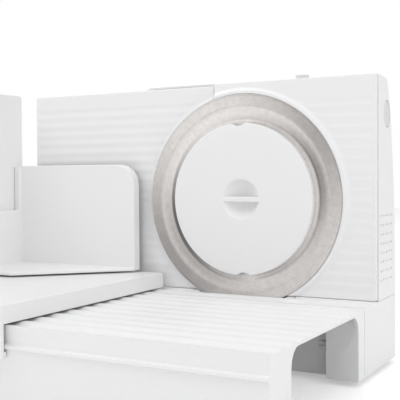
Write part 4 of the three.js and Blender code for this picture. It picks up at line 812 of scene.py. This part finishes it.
# %% The well behind the blade, and the whole panel
WELL_BACK, WELL_WALL, HUB_HOLE, APRON = 11.8, 2.5, 34.0, 78.0
FAR_OFF, FLOOR_CREASE, WALL_INSIDE = 1e3, 1e-3, 1.0
well_angles = full_turn(360)
sine, cosine = np.sin(well_angles), np.cos(well_angles)
cup = GUARD_BORE + WELL_WALL
to_table = np.where(sine < -0.5, -low / np.maximum(-sine, TINY), FAR_OFF)
to_left = np.where(cosine < 0, -left / np.maximum(-cosine, TINY), FAR_OFF)
well_outer = np.minimum(to_table, np.maximum(APRON, np.minimum(cup, to_left)))
well_bore = np.minimum(well_outer, GUARD_BORE)
floor_front = WELL_BACK - WELL_WALL
rim_height = np.where(np.minimum(to_table, to_left) > cup, PANEL_BACK - WALL_INSIDE, floor_front)
well = polar_grid(
    well_angles,
    side_by_side(HUB_HOLE, well_bore - FLOOR_CREASE, well_bore, well_outer, well_outer, HUB_HOLE, HUB_HOLE),
    side_by_side(floor_front, floor_front, rim_height, rim_height, WELL_BACK, WELL_BACK, floor_front),
)
make_piece(
    "front_panel_moulding", joined(panel_shell, lathe_shell(well)), "housing", "white_plastic",
    "front_panel",
)

# %% [markdown]
# ## The stop plate
#
# The food rests against this plate, and its distance behind the blade sets the slice. Rows run up the
# plate, and each row ends on the arc that follows the blade, so the surface is ruled between its left
# edge and the arc. The same ribs cross it, but a smooth rim follows the arc, and it stands a little
# proud: it keeps the food off the blade's teeth, and its slope catches the light.

# %% The ruled stop plate
ARC, ARC_RIM, ARC_RISE, RIM_BLEND = 85.8, 3.8, 2.0, 0.8
STOP_BORDER, LEFT_ZONE = (2.2, 3.2), 3.0
STOP_SKIN, STOP_EDGE = 2.5, 2.0
plate_left, plate_front, plate_bottom = plate_low
plate_right, plate_back, plate_top = plate_high
end_steps = np.array([0, 0.08, 0.2, 0.4, 0.7, 1.2, 1.95, 2.05])
rows = np.unique(np.concatenate([
    plate_bottom + end_steps, [RIB_LOW - 0.5], rib_lines, np.linspace(RIB_HIGH, plate_top - 2.1, 14)[1:-1],
    plate_top - end_steps[::-1], [math.sqrt(ARC ** 2 - plate_right ** 2)],
]))[:, None]
arc_steps = np.append([6.0, 5.5, 5.1, 4.7, 4.3, 3.9, 3.5, 3.0], end_steps[::-1])
on_arc = -np.sqrt(np.clip((ARC + arc_steps) ** 2 - rows ** 2, 0, None))
near_arc = np.minimum(plate_right - arc_steps, on_arc)
left_x = plate_left + np.append(end_steps, LEFT_ZONE)
room = near_arc[:, :1] - left_x[-1]
across = side_by_side(left_x, left_x[-1] + room * np.linspace(0, 1, 40)[1:-1], near_arc)
height = np.broadcast_to(rows, across.shape)
from_arc = np.hypot(across, height) - ARC
edge = np.minimum.reduce([
    across - plate_left, plate_right - across, height - plate_bottom, plate_top - height,
    np.where(np.abs(height) < ARC, from_arc, ARC),
])
edge = np.maximum(edge, 0)
beyond_rim = smooth_step(from_arc, ARC_RIM - RIM_BLEND, ARC_RIM + RIM_BLEND)
ribbed = beyond_rim * smooth_step(across - plate_left, *STOP_BORDER)
rim_rise = ARC_RISE * smooth_step(-from_arc, -ARC_RIM, ARC_RIM)
stop_face = plate_front + ribbed * rib_drop(height) - rim_rise + rounded(edge, EDGE_ROLL)
stop_back = np.where(edge < STOP_EDGE, plate_back, plate_front + STOP_SKIN)
stop_shell = closed_shell(point_grid(across, stop_face, height), point_grid(across, stop_back, height))
print("stop plate grid:", across.shape)


# %% The socket behind it, and the whole stop plate
def block(x, y, z):
    """A closed box between pairs of limits, as a front and a back grid."""
    xx, zz = np.meshgrid(x, z)
    return closed_shell(*(point_grid(xx, depth, zz) for depth in y))


SOCKET_HALF, SOCKET_SUNK, SOCKET_HEIGHT = 11.0, 0.5, (-70, 20)
carrier_low, carrier_high = reach("plate_carrier")
socket_middle = (carrier_low[0] + carrier_high[0]) / 2
socket = block(
    (socket_middle - SOCKET_HALF, socket_middle + SOCKET_HALF),
    (plate_front + STOP_SKIN - SOCKET_SUNK, plate_back), SOCKET_HEIGHT,
)
make_piece("stop_plate_moulding", joined(stop_shell, socket), "stop", "white_plastic", "stop_plate")

# %% [markdown]
# ## Soft edges on plain mouldings
#
# Injection-moulded parts have no sharp outside edges: a small radius catches a thin line of light.
# The frame's parts are exact but sharp, and made of loose triangles. A copy is merged, its flat
# triangles become whole faces, and a bevel rounds the corners. Short edges stay sharp, because a bevel
# that has to spare the rim of a tiny air hole would shrink everywhere. So the edges to round are marked
# by a weight: those that are long enough and turn sharply enough.

# %% Round the corners of a copy of a part
FLAT_TURN, SHARP_TURN, BEVEL_STEPS = math.radians(0.4), math.radians(40), 3


def softened(node, radius, shortest):
    """A copy of a part, merged, with every sharp edge over a length in mm rounded by a radius."""
    mesh = frame["nodes"][node].data.copy()
    mesh.name = f"{node}_moulding"
    work = bmesh.new()
    work.from_mesh(mesh)
    bmesh.ops.remove_doubles(work, verts=work.verts, dist=MERGE)
    bmesh.ops.dissolve_limit(work, angle_limit=FLAT_TURN, verts=work.verts, edges=work.edges)
    turns = np.array([edge.calc_face_angle(0.0) for edge in work.edges])
    lengths = np.array([edge.calc_length() for edge in work.edges])
    work.to_mesh(mesh)
    work.free()
    marked = (turns > SHARP_TURN) & (lengths > shortest / 1000)
    weights = mesh.attributes.new("bevel_weight_edge", "FLOAT", "EDGE")
    weights.data.foreach_set("value", marked.astype(np.float32))
    mesh.polygons.foreach_set("use_smooth", [True] * len(mesh.polygons))
    mesh.set_sharp_from_angle(angle=CORNER_ANGLE)
    piece = new_object(mesh.name, mesh)
    bevel = piece.modifiers.new("edges", "BEVEL")
    bevel.width = radius / 1000
    bevel.segments = BEVEL_STEPS
    bevel.limit_method = "WEIGHT"
    bevel.harden_normals = True
    bevel.use_clamp_overlap = True
    stand_for(piece, frame["nodes"][node]["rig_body"], node_slots[node], node)


# %% The parts that get soft edges: radius, and shortest edge to round
SOFT_EDGES = {
    "base_table": (0.5, 0.0), "foot_housing": (0.5, 0.0), "carriage_tray": (0.5, 0.0),
    "carriage_wall": (0.8, 0.0), "residue_holder": (0.8, 0.0), "bottom_cover": (0.3, 0.0),
    "safety_button": (0.5, 0.0), "housing_body": (0.5, 3.0), "rear_cover": (0.5, 3.0),
}
for node, (radius, shortest) in SOFT_EDGES.items():
    softened(node, radius, shortest)

# %% [markdown]
# The slot that lets the blade into the foot is wider than the blade is there. Its two ends are closed
# by short filler pieces whose inner faces follow the disc at a small distance, so no dark holes show
# beside the blade. Each is a ruled block between that circle and the end of the slot.

# %% Fillers in the ends of the blade's slot
SLOT_HALF, SLOT_FRONT, SLOT_BACK, SLOT_PLAY = 46.0, -1.3, 12.2, 0.15
FILLER_LOW, FILLER_SINK, BLADE_PLAY = -79.8, 0.25, 1.3
foot_top = reach("foot_housing")[1][2]
levels = np.linspace(FILLER_LOW, foot_top - FILLER_SINK, 12)[:, None]
inner = np.sqrt((BLADE_RADIUS + BLADE_PLAY) ** 2 - levels ** 2)
filler_x = inner + (SLOT_HALF - SLOT_PLAY - inner) * np.linspace(0, 1, 6)
filler_y = (SLOT_FRONT + SLOT_PLAY, SLOT_BACK - SLOT_PLAY)
fillers = [
    closed_shell(*(point_grid(side * filler_x, y, levels)[:, ::side] for y in filler_y))
    for side in (-1, 1)
]
make_piece("blade_slot_fillers", joined(*fillers), "housing", node_slots["foot_housing"])
print("fillers from x", float(inner[-1, 0]), "to", SLOT_HALF)

# %% [markdown]
# ## Round pieces
#
# The knob, the slide's grip, the gland and the rubber feet are turned shapes. Each has a short profile
# of radius and height, whose corners are rounded first: a corner is cut a little before and after its
# point, and a curve of the second degree joins the two cuts. Then the profile is turned. Each profile
# below is a list of radius and height in millimetres.

# %% A rounded profile, turned about an axis
TURN_STEPS, CORNER_STEPS, MOST_OF_SIDE = 128, 5, 0.45
ORDER = {"x": [2, 0, 1], "y": [1, 2, 0], "z": [0, 1, 2]}


def rounded_profile(radius, *profile):
    """The profile with each inner corner p as (1-s)^2 a + 2s(1-s) p + s^2 b between two cuts a and b."""
    points = np.array(profile, float)
    s = np.linspace(0, 1, CORNER_STEPS)[:, None]
    result = [points[:1]]
    for before, corner, after in zip(points[:-2], points[1:-1], points[2:]):
        a, b = (
            corner + way * min(MOST_OF_SIDE, radius / np.hypot(*way))
            for way in (before - corner, after - corner)
        )
        result.append((1 - s) ** 2 * a + 2 * s * (1 - s) * corner + s ** 2 * b)
    return np.concatenate([*result, points[-1:]])


def turned_shell(axis, centre, profile, waist=None):
    """A profile turned about an axis: points (r cos a, r sin a, h), put in the order of x, y and z.

    A waist narrows the radius by angle and height, but leaves the points on the axis there.
    """
    angles = full_turn(TURN_STEPS)
    radius, height = profile.T
    if waist is not None:
        radius = radius - waist(angles, height) * (radius > 0)
    points = point_grid(radius * np.cos(angles), radius * np.sin(angles), height)
    return lathe_shell(points[..., ORDER[axis]] + centre)


def axis_through(node, axis):
    """The middle of a part with zero along the axis, and where the part starts and ends along it."""
    low, high = reach(node)
    along = "xyz".index(axis)
    middle = (low + high) / 2
    middle[along] = 0
    return middle, low[along], high[along]


# %% [markdown]
# The thickness knob sits behind the foot. Sixteen shallow grooves give the fingers hold, and a short
# ridge on its face points to the setting. The grooves are the upper part of a cosine of the angle, and
# they fade out towards the wide foot of the knob.

# %% The thickness knob
knob_axis, knob_seat, knob_top = axis_through("thickness_knob", "y")
RIDGE_HEIGHT, RIDGE_HALF, RIDGE_SPAN, RIDGE_SUNK = 1.2, 1.0, (3, 14), 1.5
knob_end = knob_top - RIDGE_HEIGHT
KNOB_FLUTES, KNOB_FLUTE_DEPTH, KNOB_FLUTE_START = 16, 1.1, 0.1
KNOB_BORE, KNOB_FADE = 4.1, (6.5, 9.5)


def knob_waist(angle, height):
    """Depth of the grooves: the part of cos(16 angle) over 0.1, faded in over the knob's length."""
    groove = np.clip(np.cos(KNOB_FLUTES * angle) - KNOB_FLUTE_START, 0, 1)
    fade_start, fade_end = (knob_seat + length for length in KNOB_FADE)
    return KNOB_FLUTE_DEPTH * groove * smooth_step(height, fade_start, fade_end)


knob_profile = rounded_profile(
    1.2, (KNOB_BORE, knob_seat), (17, knob_seat), (18, knob_seat + 1), (18, knob_seat + 5),
    (16, knob_seat + 6.2), (15, knob_end), (11, knob_end), (10.4, knob_end - 0.7), (0, knob_end - 0.7),
    (0, knob_seat + 12), (KNOB_BORE, knob_seat + 12), (KNOB_BORE, knob_seat),
)
pointer = block(
    (knob_axis[0] - RIDGE_HALF, knob_axis[0] + RIDGE_HALF), (knob_end - RIDGE_SUNK, knob_top),
    [knob_axis[2] + along for along in RIDGE_SPAN],
)
make_piece(
    "thickness_knob_turned", joined(turned_shell("y", knob_axis, knob_profile, knob_waist), pointer),
    "thickness_dial", node_slots["thickness_knob"], "thickness_knob",
)

# %% [markdown]
# The holder's slide has a mushroom grip outside the carriage's wall, and a key that reaches through
# the slot. The gland is a collar with a lead hole, and the feet are rubber pads with a soft rim.

# %% Slide, gland and feet
slide_axis, grip_end, key_end = axis_through("holder_slide", "x")
GRIP_LENGTH, KEY_HALF_Y, KEY_HALF_Z = 11.7, 5.0, 3.7
grip_foot = grip_end + GRIP_LENGTH
grip_profile = rounded_profile(
    1.5, (0, grip_end + 0.4), (5, grip_end), (10, grip_end), (12, grip_end + 2), (9, grip_end + 8),
    (11, grip_foot), (0, grip_foot),
)
key = block(
    (grip_foot - 1, key_end), (slide_axis[1] - KEY_HALF_Y, slide_axis[1] + KEY_HALF_Y),
    (slide_axis[2] - KEY_HALF_Z, slide_axis[2] + KEY_HALF_Z),
)
make_piece(
    "holder_slide_turned", joined(turned_shell("x", slide_axis, grip_profile), key), "holder",
    "white_plastic", "holder_slide",
)

gland_axis, front, back = axis_through("cord_gland", "y")
gland_profile = rounded_profile(
    0.7, (3.4, front), (7, front), (7, front + 3.2), (5, front + 3.2), (5, front + 6.3),
    (7.5, front + 6.3), (6, back), (3.4, back), (3.4, front),
)
make_piece(
    "cord_gland_turned", turned_shell("y", gland_axis, gland_profile), "housing",
    node_slots["cord_gland"], "cord_gland",
)

for index in range(1, 5):
    foot_axis, floor_z, foot_top = axis_through(f"rubber_foot_{index}", "z")
    foot_profile = rounded_profile(
        0.8, (0, floor_z), (7.5, floor_z), (9, floor_z + 2), (9, foot_top), (0, foot_top),
    )
    make_piece(
        f"rubber_foot_pad_{index}", turned_shell("z", foot_axis, foot_profile), "housing", "rubber",
        f"rubber_foot_{index}",
    )

# %% [markdown]
# The power button is an upright oval with a rounded rim and a shallow dish for the fingertip. Its face
# is a height field over an ellipse: angle round it, and share of the way out. Behind the wall it has
# two ears that stop it, and a stem to the switch.

# %% The power button
button_low, button_high = reach("power_button")
BUTTON_Y, BUTTON_Z = 26.4, (button_low[2] + button_high[2]) / 2
BUTTON_HALF_Y, BUTTON_HALF_Z, STEM_RADIUS, STEM_SUNK = 8.2, 10.2, 3, 4
BUTTON_BACK, BUTTON_RIM, BUTTON_DISH, DISH_SHARE = 5.2, 1.0, 0.9, 0.78
button_face = button_high[0]
share = np.append(np.linspace(0, 0.84, 22), np.linspace(0.84, 1, 12)[1:])
face_drop = BUTTON_DISH * (1 - smooth_step(share, 0.0, DISH_SHARE))
rim_drop = rounded((1 - share) * BUTTON_HALF_Y, BUTTON_RIM)
button_share = np.append(share, [1, 0])
button_x = np.append(button_face - face_drop - rim_drop, [button_face - BUTTON_BACK] * 2)
angles = full_turn(96)
button_points = point_grid(
    button_x, BUTTON_Y + BUTTON_HALF_Y * button_share * np.cos(angles),
    BUTTON_Z + BUTTON_HALF_Z * button_share * np.sin(angles),
)
ears = block(
    (button_face - BUTTON_BACK, button_face - 3), (BUTTON_Y - 3, BUTTON_Y + 2.5),
    (button_low[2], button_high[2]),
)
stem_start, stem_end = button_low[0], button_face - STEM_SUNK
stem_profile = np.array([
    (0, stem_start), (STEM_RADIUS, stem_start), (STEM_RADIUS, stem_end), (0, stem_end),
])
stem = turned_shell("x", (0, BUTTON_Y, BUTTON_Z), stem_profile)
make_piece(
    "power_button_dished", joined(lathe_shell(button_points), ears, stem), "power_key",
    node_slots["power_button"], "power_button",
)

# %% [markdown]
# ## The floor and the light
#
# A photo studio for white goods is a tent: light from all sides, a little more from above and the
# left, so that ribs and corners still read. The floor and the sky are white to the camera and in
# reflections, and the floor still takes the machine's shadow.

# %% Floor, sky and lamps
def seen_directly(tree):
    """One where a ray comes from the camera, a reflection or through glass, and zero elsewhere."""
    path = add_node(tree, "ShaderNodeLightPath").outputs
    seen = calc(tree, "MAXIMUM", path["Is Camera Ray"], path["Is Glossy Ray"])
    return calc(tree, "MAXIMUM", seen, path["Is Transmission Ray"])


FLOOR_GLOW, FLOOR_HALF, SKY_LIGHT = 0.36, 3.0, 0.56
floor_paint = bpy.data.materials.new("studio_floor")
floor_paint.use_nodes = True
tree = floor_paint.node_tree
feed(tree, tree.nodes["Principled BSDF"], {
    "Base Color": (0.86, 0.86, 0.86, 1), "Roughness": 0.9, "Emission Color": (1, 1, 1, 1),
    "Emission Strength": times(tree, seen_directly(tree), FLOOR_GLOW),
})
floor_mesh = bpy.data.meshes.new("studio_floor")
corners = np.array([[-1, -1, 0], [1, -1, 0], [1, 1, 0], [-1, 1, 0]]) * FLOOR_HALF
floor_mesh.from_pydata(corners.tolist(), [], [(0, 1, 2, 3)])
floor_mesh.materials.append(floor_paint)
floor = new_object("studio_floor", floor_mesh)

world = bpy.data.worlds.new("studio")
bpy.context.scene.world = world
world.use_nodes = True
tree = world.node_tree
strength = add_node(tree, "ShaderNodeMapRange", {
    "Value": seen_directly(tree), "To Min": SKY_LIGHT, "To Max": 1.0,
})
feed(tree, tree.nodes["Background"], {"Color": (1, 1, 1, 1), "Strength": strength.outputs[0]})


def lamp(name, place, target, size, power):
    """A square soft lamp at a place in metres that faces a target."""
    light = bpy.data.lights.new(name, "AREA")
    light.shape = "SQUARE"
    light.size = size
    light.energy = power
    lamp_object = new_object(name, light)
    away = np.array(place, float) - np.array(target, float)
    lamp_object.rotation_mode = "QUATERNION"
    lamp_object.rotation_quaternion = Vector(away).to_track_quat("Z", "Y")
    lamp_object.location = place
    return lamp_object


middle = (0.0, 0.0, 0.12)
lamp("top", (0.0, -0.2, 1.7), middle, 1.6, 9.3)
lamp("right", (1.6, -0.3, 0.6), middle, 1.2, 7.4)
lamp("left", (-1.8, 0.0, 0.8), middle, 1.2, 16.6)
lamp("near_left", (-0.6, -0.5, 0.95), middle, 0.5, 2.2)
fill = lamp("low_front", (0.3, -1.6, 0.12), middle, 0.8, 3.8)
fill.visible_glossy = False

bpy.context.scene.view_settings.view_transform = "Standard"
print("sky", SKY_LIGHT, "floor glow", FLOOR_GLOW)
